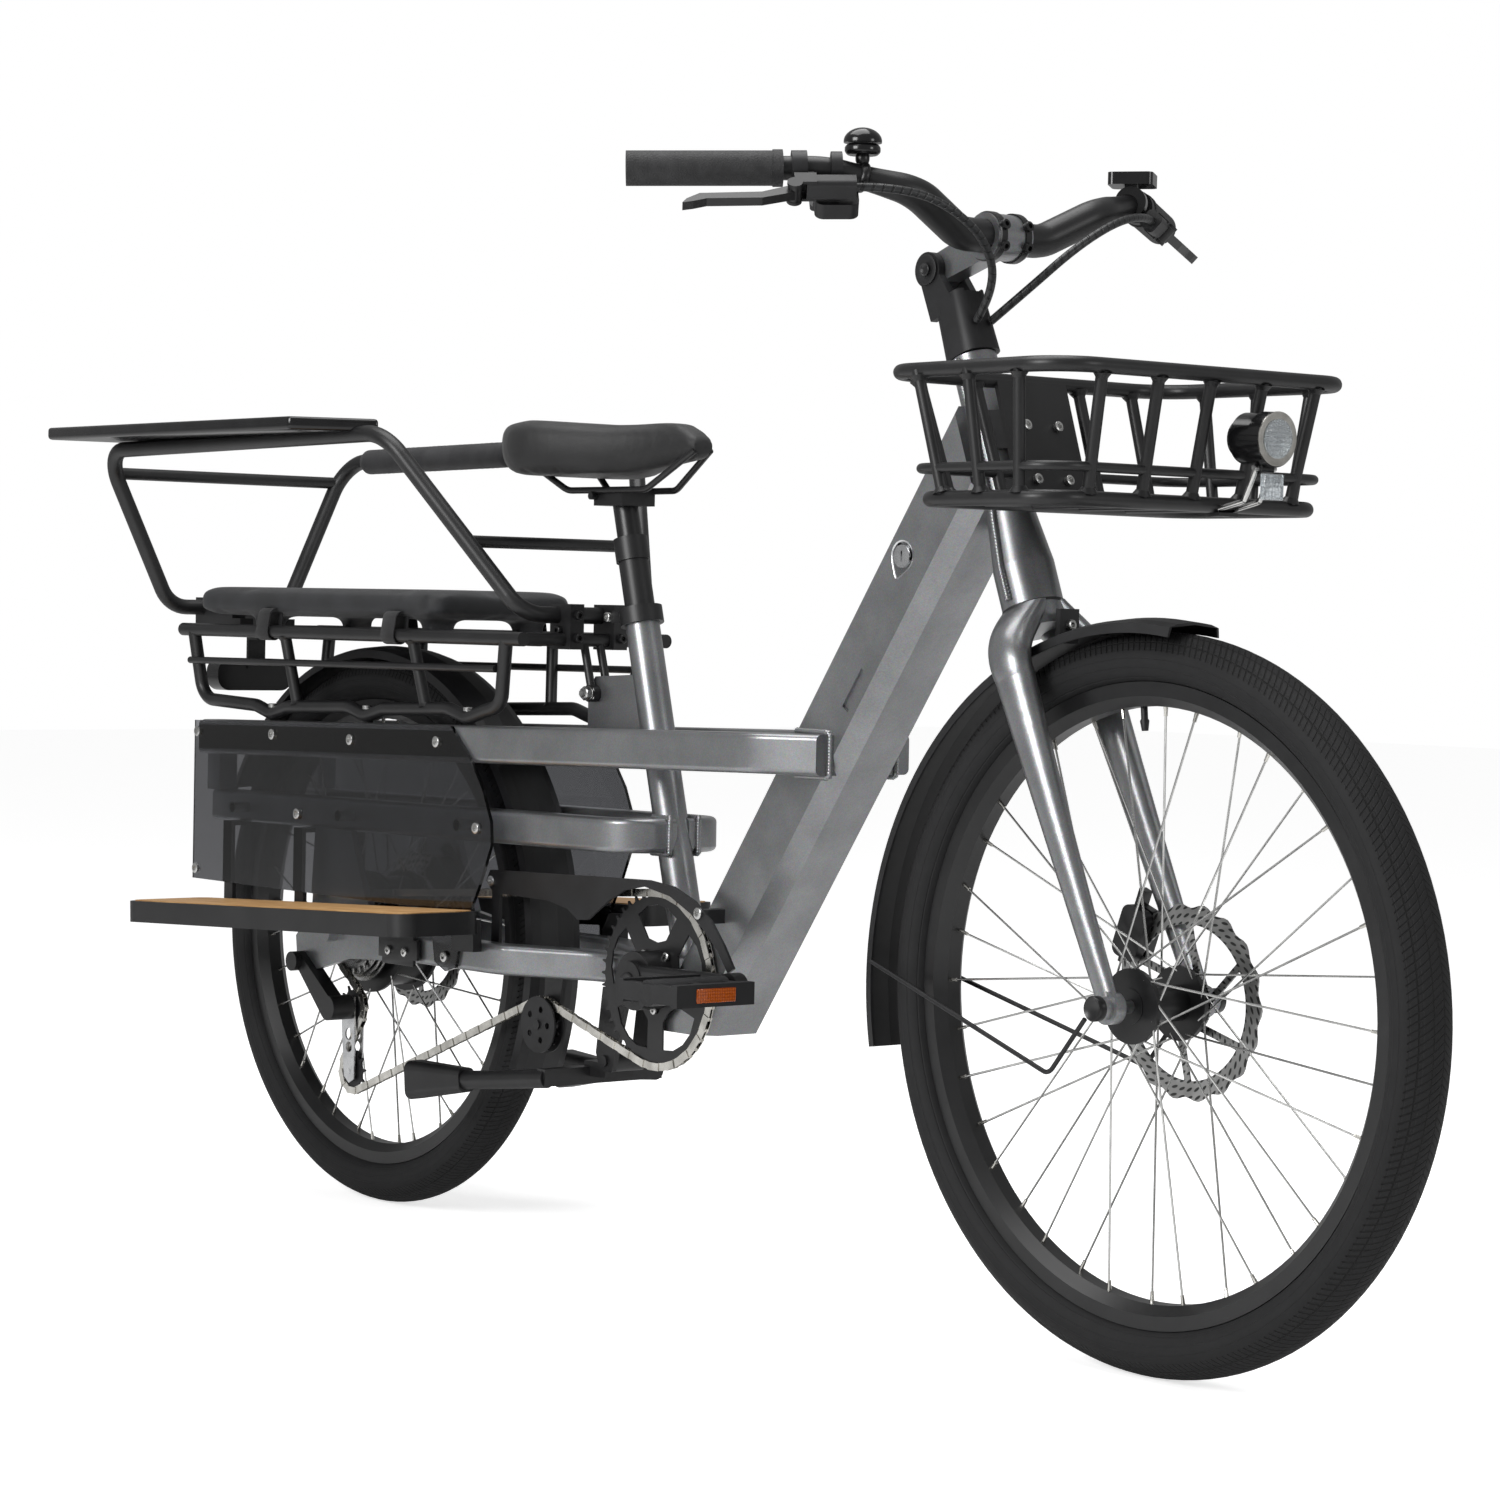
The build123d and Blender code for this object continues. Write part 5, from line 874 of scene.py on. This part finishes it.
def lock_plate():
    """Drop-shaped plate behind the key lock, with a raised rim."""
    bpy.ops.mesh.primitive_cylinder_add(vertices=40, radius=15.5 * MM, depth=1.4 * MM,
                                        location=(0, 0, 0.7 * MM))
    plate = start_piece("lock_plate")
    bpy.ops.object.mode_set(mode="EDIT")
    mesh = bmesh.from_edit_mesh(plate.data)
    for vertex in mesh.verts:
        if vertex.co.y < -0.004:
            vertex.co.y *= 1.0 + 0.5 * (-vertex.co.y / (15.5 * MM)) ** 2
            vertex.co.x *= 1.0 - 0.45 * (-vertex.co.y / (23 * MM)) ** 2
    bmesh.update_edit_mesh(plate.data)
    bpy.ops.mesh.select_mode(type="FACE")
    select_faces(on_top)
    bpy.ops.mesh.inset(thickness=1.6 * MM)
    shift_up(-0.7)
    bpy.ops.object.mode_set(mode="OBJECT")
    centre = middle("battery_lock")
    upright, lean = Matrix.Rotation(radians(90), 4, "X"), Matrix.Rotation(radians(-20), 4, "Z")
    plate.matrix_world = Matrix.Translation((centre.x, -41.5 * MM, centre.z)) @ upright @ lean
    return settle(plate, aluminium, "frame", 40)


lock_plate()
print("seal, caps, chainring bolts and lock plate made")

# %% [markdown]
# ## Straps under the bench
# Two hook-and-loop straps tie the cushion to the rack. Each is a flat band, so it starts as an open
# tube round the rack's rail, is pulled up to the cushion, and gets its thickness from Solidify.

# %% Cushion straps
webbing = synthetic_leather("nylon_webbing", "#222224", "#141415", 0.82, 1.0, 0.3)
rack_tube_y, rack_tube_z = 95, 646


def cushion_strap(x, side, tag):
    """A band round the rack's top tube that reaches up to the cushion."""
    bpy.ops.mesh.primitive_cylinder_add(vertices=32, radius=9.2 * MM, depth=25 * MM, end_fill_type="NOTHING",
                                        location=(x * MM, side * rack_tube_y * MM, rack_tube_z * MM),
                                        rotation=(0, radians(90), 0))
    strap = start_piece(f"cushion_strap_{tag}_{abs(x)}")
    bpy.ops.object.transform_apply(location=True, rotation=True, scale=True)
    bpy.ops.object.mode_set(mode="EDIT")
    mesh = bmesh.from_edit_mesh(strap.data)
    for vertex in mesh.verts:
        if vertex.co.z > (rack_tube_z + 2) * MM:
            vertex.co.z += 17 * MM
            vertex.co.y += -side * 2.5 * MM
    bmesh.update_edit_mesh(strap.data)
    bpy.ops.object.mode_set(mode="OBJECT")
    wall = strap.modifiers.new("wall", "SOLIDIFY")
    wall.thickness, wall.offset = 1.3 * MM, 0.0
    edge = strap.modifiers.new("edge", "BEVEL")
    edge.width, edge.segments, edge.limit_method = 0.4 * MM, 2, "ANGLE"
    return settle(strap, webbing, "frame", 50)


for side, tag in SIDES:
    for x in (-709, -455):
        cushion_strap(x, side, tag)
print("four cushion straps made")

# %% [markdown]
# ## Welded joints of the basket and rack
# Where a thin upright meets a ring, the weld leaves a small swollen collar. One collar is a short
# barrel whose middle bulges, and it is copied to both ends of every upright.

# %% Weld collars
def weld_collar(radius, height):
    """A short barrel, widest at its foot, that stands for one fillet weld."""
    collar = standing_cylinder("weld_collar", radius, height, 16)
    edit_faces(on_top)
    pull_up(height * 0.5, 0.84)
    select_faces(underneath)
    bpy.ops.transform.resize(value=(1.35, 1.35, 1))
    bpy.ops.object.mode_set(mode="OBJECT")
    return apply_all(collar)


def collar_places(low, high, foot):
    """Both ends of a strut, where it leaves the tubes it is welded to."""
    low, high = Vector(low), Vector(high)
    run = (high - low).normalized()
    return [facing(low + run * foot, run), facing(high - run * foot, -run)]


basket_low, basket_top = 783, 897
uprights = []
for share in (0.22, 0.5, 0.78):
    for side in (-1, 1):
        uprights.append(((478 + 174 * share, side * 172, basket_low),
                         (438 + 238 * share, side * (186 - 4 * (1 - share)), basket_top)))
for y in (-128, -62, 62, 128):
    uprights.append(((652, y, basket_low), (676, y * 1.06, basket_top)))
    uprights.append(((478, y, basket_low), (438, y * 1.06, basket_top)))
uprights.append(((652, 0, basket_low), (676, 0, basket_top)))
collar = weld_collar(6.6, 3.4)
copies("basket_welds", collar, [place for strut in uprights for place in collar_places(*strut, 5.5)],
       black_powder, "frame")
posts = [((x + 14, side * rack_foot_y, rail_top(x) + 15), (x, side * rack_tube_y, rack_tube_z))
         for x in (-675, -420) for side, _ in SIDES]
copies("rack_welds", collar, [place for strut in posts for place in collar_places(*strut, 5.5)],
       black_powder, "frame")
scrap(collar)
print("collars on", len(uprights) + len(posts), "struts")

# %% [markdown]
# ## Sleeves
# Foam, wires and small round posts are all sleeves: a cylinder cut into rings, so that its ends can
# be rounded and its wall made slightly uneven.

# %% Sleeve helper
def tube_sleeve(name, start, end, radius, material, rings=40, wobble=0.0, body="frame"):
    """A sleeve round a straight tube, with rounded ends and slightly uneven rings."""
    start, end = Vector(start), Vector(end)
    length = (end - start).length
    bpy.ops.mesh.primitive_cylinder_add(vertices=28, radius=radius * MM, depth=length * MM,
                                        end_fill_type="NGON")
    sleeve = start_piece(name)
    bpy.ops.object.mode_set(mode="EDIT")
    bpy.ops.mesh.select_all(action="DESELECT")
    mesh = bmesh.from_edit_mesh(sleeve.data)
    sides = [e for e in mesh.edges if abs(e.verts[0].co.z - e.verts[1].co.z) > length * MM / 2]
    bmesh.ops.subdivide_edges(mesh, edges=sides, cuts=rings)
    for vertex in mesh.verts:
        edge = length * MM / 2 - abs(vertex.co.z)
        swell = 1 + wobble * sin(vertex.co.z / MM * 0.7) - 0.18 * max(0.0, 1 - edge / (4 * MM)) ** 2
        vertex.co.x *= swell
        vertex.co.y *= swell
    bmesh.update_edit_mesh(sleeve.data)
    bpy.ops.object.mode_set(mode="OBJECT")
    sleeve.matrix_world = facing((start + end) / 2, end - start)
    return settle(sleeve, material, body, 50)


print("sleeve helper ready")

# %% [markdown]
# ## Stem and axle trim
# The stem grips the bar between two thick rings, and a round cap hides its pivot on each side. The
# front wheel's axle ends in a dark nut on each fork foot.

# %% Stem rings and pivot caps
for side, tag in SIDES:
    turned_cap(f"stem_ring_{tag}", 23.5, 7, 0.0,
               facing(STEM_CLAMP + Vector((0, side * 15.5, 0)), (0, side, 0)), anodised_black, "bar",
               40)
    turned_cap(f"pivot_cap_{tag}", 14.5, 3.4, 1.2,
               facing(STEM_PIVOT + Vector((0, side * 19.6, 0)), (0, side, 0)), nylon, "steering")
    turned_cap(f"pivot_screw_{tag}", 6.2, 1.6, 1.4,
               facing(STEM_PIVOT + Vector((0, side * 22.4, 0)), (0, side, 0)), anodised_black, "steering",
               24)
print("stem rings and pivot caps made")

# %% Axle end nuts
FORK_FOOT_REACH = 0.012


def from_front_axle(point):
    """Distance of a point from the front wheel's axis, in metres."""
    return (point - Vector((front_axle.x, point.y, front_axle.z))).length


fork_points = [v.co for v in nodes["fork"].data.vertices]
fork_face = max(abs(point.y) for point in fork_points if from_front_axle(point) < FORK_FOOT_REACH) / MM
for side, tag in SIDES:
    turned_cap(f"axle_nut_{tag}", 11.5, 6.5, 2.0,
               facing((front_axle.x / MM, side * fork_face, front_axle.z / MM), (0, side, 0)),
               anodised_black, "steering", 28)
print("axle nuts on the fork at", round(fork_face, 1))

# %% [markdown]
# ## Handlebar
# The bar is a butted tube: 31.8 mm thick from the stem through its double bend, then swaged down
# to 22.2 mm where the levers and grips sit. A poly curve with a radius at each point is the sweep.

# %% Butted handlebar
BEND_STEPS = 12
BAR_STEP = 6
CLAMP_RADIUS, GRIP_RADIUS = 15.9, 11.1
TAPER_START, TAPER_LENGTH = 105, 80


def bent_route(corners, bends):
    """Points along straight runs joined by bends of the given radii."""
    corners = [Vector(c) for c in corners]
    route = [corners[0]]
    for before, corner, after, bend in zip(corners, corners[1:], corners[2:], bends):
        back, ahead = (before - corner).normalized(), (after - corner).normalized()
        reach = bend / tan(back.angle(ahead) / 2)
        for step in range(BEND_STEPS + 1):
            share = step / BEND_STEPS
            route.append(corner + back * reach * (1 - share) ** 2 + ahead * reach * share ** 2)
    return route + [corners[-1]]


def even_points(route, step):
    """The same route with points about one step apart."""
    points = [route[0]]
    for a, b in zip(route, route[1:]):
        parts = max(1, round((b - a).length / step))
        points += [a.lerp(b, part / parts) for part in range(1, parts + 1)]
    return points


def bar_radius(distance):
    """Outer radius of the bar at a distance from its middle, in millimetres."""
    share = min(1.0, max(0.0, (distance - TAPER_START) / TAPER_LENGTH))
    return CLAMP_RADIUS - (CLAMP_RADIUS - GRIP_RADIUS) * share * share * (3 - 2 * share)


bar_corners = [STEM_CLAMP, (398, 52, 1034), (410, 118, 1066), (376, 196, 1083), (270, 341, 1078)]
bar_half = even_points(bent_route(bar_corners, [46, 60, 110]), BAR_STEP)
bar_path = [Vector((p.x, -p.y, p.z)) for p in reversed(bar_half)] + bar_half[1:]
walked = [0.0]
for a, b in zip(bar_half, bar_half[1:]):
    walked.append(walked[-1] + (b - a).length)
bar_radii = [bar_radius(d) for d in list(reversed(walked)) + walked[1:]]
bpy.ops.curve.primitive_nurbs_path_add(location=(0, 0, 0))
bar_piece = start_piece("butted_handlebar")
bar_piece.data.splines.clear()
strand = bar_piece.data.splines.new("POLY")
strand.points.add(len(bar_path) - 1)
for point, place, radius in zip(strand.points, bar_path, bar_radii):
    point.co = (*(place * MM), 1)
    point.radius = radius
bar_piece.data.dimensions = "3D"
bar_piece.data.bevel_depth, bar_piece.data.bevel_resolution = MM, 6
bar_piece.data.use_fill_caps = True
bpy.ops.object.convert(target="MESH")
bar_piece = start_piece("butted_handlebar")
bpy.ops.object.mode_set(mode="EDIT")
bpy.ops.mesh.select_all(action="SELECT")
bpy.ops.mesh.remove_doubles(threshold=0.00001)
bpy.ops.mesh.normals_make_consistent(inside=False)
bpy.ops.object.mode_set(mode="OBJECT")
settle(bar_piece, black_powder, "bar", 50)
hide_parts("handlebar")
print("handlebar faces", len(bar_piece.data.polygons))

# %% [markdown]
# ## Bell
# The bell is a cup and a dome that meet in a narrow joint, on a foot that a band holds to the bar.

# %% Bell
bell_seat = Vector((389.3, -165.4, 1076.3))
bell_along = Vector((34, 78, -17)).normalized()


def above_bar(height):
    """A point straight above the bell's seat, in millimetres."""
    return bell_seat + Vector((0, 0, height))


def bell_dome():
    """Round gloss dome, cut flat underneath."""
    bpy.ops.mesh.primitive_uv_sphere_add(segments=40, ring_count=20, radius=17.6 * MM)
    dome = start_piece("bell_dome")
    bpy.ops.object.mode_set(mode="EDIT")
    bpy.ops.mesh.select_all(action="SELECT")
    bpy.ops.mesh.bisect(plane_co=(0, 0, -0.002), plane_no=(0, 0, 1), clear_inner=True, use_fill=True)
    bpy.ops.object.mode_set(mode="OBJECT")
    dome.scale = (1.0, 1.0, 0.72)
    dome.location = above_bar(32.5) * MM
    return settle(dome, polished, "bar", 60)


bell_parts = [
    tube_sleeve("bell_band", bell_seat - bell_along * 4.5, bell_seat + bell_along * 4.5, 14.4,
                anodised_black, 6, 0.0, "bar"),
    tube_sleeve("bell_foot", above_bar(12.5), above_bar(22), 6.5,
                anodised_black, 6, 0.0, "bar"),
    tube_sleeve("bell_cup", above_bar(20), above_bar(30.2), 16.4,
                polished, 10, 0.0, "bar"),
    bell_dome(),
]
for part in bell_parts:
    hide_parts("bell")
print("bell made of", len(bell_parts), "pieces")

# %% [markdown]
# ## Arm rest and foam sleeve
# On the right the hoop carries a glossy moulded shelf. On the left it wears a foam sleeve. Both are
# shaped from simple primitives: the shelf by bevels, the sleeve by rings that make it uneven.

# %% Arm rest and sleeve
foam = synthetic_leather("closed_cell_foam", "#2b2b2d", "#1d1d1f", 0.85, 1.4, 0.25)
grip_low = box_mm("hoop_grips")[0]
hoop_top, hoop_side = box_mm("hoop")[1].z, box_mm("hoop")[1].y


def armrest_shelf():
    """Shelf with a clipped front corner, rounded edges and a shallow dished top."""
    low_y, high_y = grip_low.y, -150.0
    length = 560.0
    shelf = block("armrest_shelf", (length, high_y - low_y, 15),
                  (grip_low.x + length / 2, (low_y + high_y) / 2, hoop_top + 1))
    bpy.ops.object.mode_set(mode="EDIT")
    mesh = bmesh.from_edit_mesh(shelf.data)
    for vertex in mesh.verts:
        if vertex.co.y < (low_y + 5) * MM and vertex.co.x > (grip_low.x + length - 5) * MM:
            vertex.co.x -= 40 * MM
        if vertex.co.y > (high_y - 5) * MM and vertex.co.x < (grip_low.x + 5) * MM:
            vertex.co.x += 16 * MM
    bmesh.update_edit_mesh(shelf.data)
    bpy.ops.mesh.select_mode(type="FACE")
    select_faces(on_top)
    bpy.ops.mesh.inset(thickness=9 * MM)
    shift_up(-1.5)
    bpy.ops.object.mode_set(mode="OBJECT")
    bevel = shelf.modifiers.new("edge", "BEVEL")
    bevel.width, bevel.segments, bevel.limit_method, bevel.angle_limit = 4.5 * MM, 4, "ANGLE", radians(40)
    settle(shelf, polished, "frame", 50)
    return shelf


shelf = armrest_shelf()
foam_y = hoop_side - 9
foam_sleeve = tube_sleeve("foam_sleeve", (-905, foam_y, hoop_top - 17), (-606, foam_y, hoop_top - 13), 15,
                          foam, 60, 0.012)
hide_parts("hoop_grips")
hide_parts("hoop_grips")
print("arm rest and foam sleeve made")

# %% [markdown]
# ## Bar hoses
# The brake hoses and wires leave the lever bodies, swing ahead of the bar in one wrapped bundle
# each and enter the stem. The wrap is a flat black spiral, so its turns are drawn on the tube, and
# the narrow gaps between the turns are painted darker as painted shade.

# %% Spiral wrapped hoses
def spiral_wrap(turns):
    """Nylon spiral wrap: a raised band that winds round the tube a number of times; its gaps hold painted
    shade.
    """
    material, tree, shader = new_material("spiral_wrap", Roughness=0.4, IOR=1.5)
    uv = add(tree, "TexCoord").outputs["UV"]
    axes = add(tree, "SeparateXYZ", {}, {"Vector": uv})
    wound = add(tree, "Math", {"operation": "MULTIPLY_ADD", 1: float(turns)},
                {0: axes.outputs["X"], 2: axes.outputs["Y"]})
    band = add(tree, "Math", {"operation": "PINGPONG", 1: 0.5}, {0: wound.outputs[0]})
    step = add(tree, "MapRange", {"From Min": 0.1, "From Max": 0.16}, {"Value": band.outputs[0]})
    # The darker tone in the narrow gaps between turns is painted shade.
    tone = add(tree, "ValToRGB", {}, {"Fac": step.outputs[0]})
    two_tones(tone, "#0b0b0c", "#252627")
    tree.links.new(tone.outputs["Color"], shader.inputs["Base Color"])
    relief(tree, shader, step.outputs[0], 1.2, 0.9)
    return material


hose_route = [(408.2, 188.4, 1064.3), (428.3, 161, 1065.2), (440, 112, 1056), (440, 58, 1027),
              (416, 20, 986), (378, 9, 957.4)]
wrap = spiral_wrap(27)
for side, tag in SIDES:
    line = bpy.data.curves.new(f"hose_{tag}", "CURVE")
    line.dimensions = "3D"
    line.bevel_depth = 4.0 * MM
    line.bevel_resolution = 4
    line.resolution_u = 16
    line.use_fill_caps = True
    strand = line.splines.new("NURBS")
    strand.points.add(len(hose_route) - 1)
    for point, (x, y, z) in zip(strand.points, hose_route):
        point.co = (x * MM, side * y * MM, z * MM, 1)
    strand.use_endpoint_u = True
    strand.order_u = 3
    line.materials.append(wrap)
    hose = bpy.data.objects.new(f"hose_{tag}", line)
    bpy.context.scene.collection.objects.link(hose)
    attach(hose, "bar")
    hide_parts("hoses")
print("hoses made")

# %% [markdown]
# ## Lamps and reflectors
# The headlight has a clear lens over a bright bowl, the pedals carry amber reflectors in both
# edges, and the rear lamp has a red lens. Each lens is painted darker toward the edges of its small
# prisms, which is painted shade.

# %% Lens materials
def moulded_lens(name, colour, dark, roughness=0.12, cell_mm=3.0, transmission=0.35):
    """Ribbed transparent plastic with a grid of small prisms behind it, with painted shade at the prisms'
    edges.
    """
    material, tree, shader = new_material(name, Roughness=roughness, IOR=1.49,
                                          Transmission_Weight=transmission, Coat_Weight=0.5)
    place = add(tree, "TexCoord").outputs["Object"]
    prisms = add(tree, "TexVoronoi", {"Scale": 1000 / cell_mm, "Randomness": 0.15}, {"Vector": place})
    # The second tone, toward each prism's edge, is painted shade.
    tone = add(tree, "ValToRGB", {}, {"Fac": prisms.outputs["Distance"]})
    two_tones(tone, colour, dark)
    tree.links.new(tone.outputs["Color"], shader.inputs["Base Color"])
    relief(tree, shader, prisms.outputs["Distance"], 0.6, 0.5)
    return material


amber = moulded_lens("amber_reflector", "#e8701a", "#8a3406")
red_lens = moulded_lens("red_lens", "#c01c18", "#5a0706")
clear_lens = moulded_lens("clear_lens", "#eef2f4", "#b9c2c8", 0.05, 4.0, 0.7)


def reflector_bar(name, low, high, material, body):
    """A bevelled lens block between two corners, with a raised rim."""
    low, high = Vector(low), Vector(high)
    lens_block = block(name, high - low, (low + high) / 2)
    edit_faces(lambda middle, normal: abs(normal.x) > 0.9)
    bpy.ops.mesh.inset(thickness=1.2 * MM, use_individual=True)
    bpy.ops.object.mode_set(mode="OBJECT")
    bevel = lens_block.modifiers.new("edge", "BEVEL")
    bevel.width, bevel.segments = 0.8 * MM, 2
    return settle(lens_block, material, body)


for _, tag in SIDES:
    low, high = box_mm(f"pedal_{tag}")
    middle_y, middle_z = (low.y + high.y) / 2, (low.z + high.z) / 2
    for edge, x in (("front", high.x), ("rear", low.x)):
        reflector_bar(f"pedal_{tag}_{edge}_reflector", (x - 1.2, middle_y - 24, middle_z - 7),
                      (x + 1.2, middle_y + 24, middle_z + 7), amber, f"pedal_{tag}")
low, high = box_mm("rear_light")
reflector_bar("rear_lamp_lens", (low.x - 1.0, -46, 582), (low.x + 2, 46, 604), red_lens, "frame")
low, high = box_mm("headlight")
lamp_front, lamp_y, lamp_z = high.x, (low.y + high.y) / 2, high.z - 24.5


def lamp_glass():
    """Domed glass of the headlight."""
    bpy.ops.mesh.primitive_uv_sphere_add(segments=32, ring_count=16, radius=16.5 * MM)
    glass = start_piece("headlight_glass")
    bpy.ops.object.mode_set(mode="EDIT")
    bpy.ops.mesh.select_all(action="SELECT")
    bpy.ops.mesh.bisect(plane_co=(0.012, 0, 0), plane_no=(1, 0, 0), clear_inner=True, use_fill=True)
    bpy.ops.object.mode_set(mode="OBJECT")
    glass.scale = (0.7, 1.1, 1.1)
    glass.location = ((lamp_front - 11) * MM, lamp_y * MM, (lamp_z - 1.5) * MM)
    return settle(glass, clear_lens, "headlight", 60)


lamp_glass()
turned_cap("headlight_bezel", 24.2, 1.6, 0.9, facing((lamp_front - 0.6, lamp_y, lamp_z), (1, 0, -0.05)),
           nickel, "headlight", 48)
turned_cap("headlight_bowl", 17.5, 1.4, -1.2, facing((lamp_front + 0.8, lamp_y, lamp_z), (1, 0, -0.05)),
           clear_lens, "headlight", 24)
reflector_bar("front_reflector", (708.5, 29, 787), (714, 54, 810), clear_lens, "frame")
wire_route = ((656, 779), (688, 786), (702, 815))
for y in (31, 51):
    for part, ((x0, z0), (x1, z1)) in enumerate(zip(wire_route, wire_route[1:])):
        tube_sleeve(f"light_wire_{y}_{part}", (x0, y, z0), (x1, y, z1), 2.5, stainless, 4)
tube_sleeve("light_pin", (702, 27, 815), (702, 55, 815), 2.9, stainless, 4)
print("lamps, reflectors and the light's wires made")

# %% [markdown]
# ## Studio
# A pale floor and a white surround. The camera and clear pieces see the surround as white, while
# the light that falls on the bicycle stays at a plain level, so the blacks stay black.

# %% Floor, surround and lamps
bpy.ops.mesh.primitive_plane_add(size=30, location=(0, 0, -0.0005))
floor = start_piece("studio_floor")
floor_paint, tree, shader = new_material("white_studio_floor", Roughness=0.9, Specular_IOR_Level=0.1)
shader.inputs["Base Color"].default_value = linear("#f4f4f4")
seen = add(tree, "LightPath")
glow = add(tree, "Emission", {"Color": linear("#ffffff"), "Strength": 0.66})
both_lit = add(tree, "AddShader", {}, {0: shader.outputs["BSDF"], 1: glow.outputs["Emission"]})
pick = add(tree, "MixShader", {}, {0: seen.outputs["Is Camera Ray"], 1: shader.outputs["BSDF"],
                                   2: both_lit.outputs["Shader"]})
tree.links.new(pick.outputs["Shader"], tree.nodes["Material Output"].inputs["Surface"])
floor.data.materials.append(floor_paint)
floor.select_set(False)

world = bpy.data.worlds.new("studio_surround")
bpy.context.scene.world = world
world.use_nodes = True
tree = world.node_tree
tree.nodes.clear()
seen = add(tree, "LightPath")
mirror = add(tree, "Math", {"operation": "MAXIMUM"},
             {0: seen.outputs["Is Camera Ray"], 1: seen.outputs["Is Transmission Ray"]})
soft = add(tree, "Background", {"Color": linear("#ffffff"), "Strength": 0.34})
white = add(tree, "Background", {"Color": linear("#ffffff"), "Strength": 1.0})
pick = add(tree, "MixShader", {}, {0: mirror.outputs[0], 1: soft.outputs["Background"],
                                   2: white.outputs["Background"]})
add(tree, "OutputWorld", {}, {"Surface": pick.outputs["Shader"]})


def soft_box(name, place, aim, size, power):
    """A square studio lamp that points at a place."""
    lamp = bpy.data.lights.new(name, "AREA")
    lamp.shape, lamp.size, lamp.energy = "SQUARE", size, power
    lamp_object = bpy.data.objects.new(name, lamp)
    bpy.context.scene.collection.objects.link(lamp_object)
    turn = (Vector(aim) - Vector(place)).to_track_quat("-Z", "Y")
    lamp_object.matrix_world = Matrix.Translation(place) @ turn.to_matrix().to_4x4()
    return lamp_object


soft_box("overhead", (-0.1, -0.3, 3.2), (0, 0, 0.4), 2.4, 66)
soft_box("key", (0.4, -3.5, 1.9), (0, 0, 0.5), 1.6, 84)
soft_box("side", (3.3, 0.9, 1.5), (0.3, 0, 0.5), 0.9, 13)
bpy.context.scene.view_settings.view_transform = "Standard"
print("studio ready")
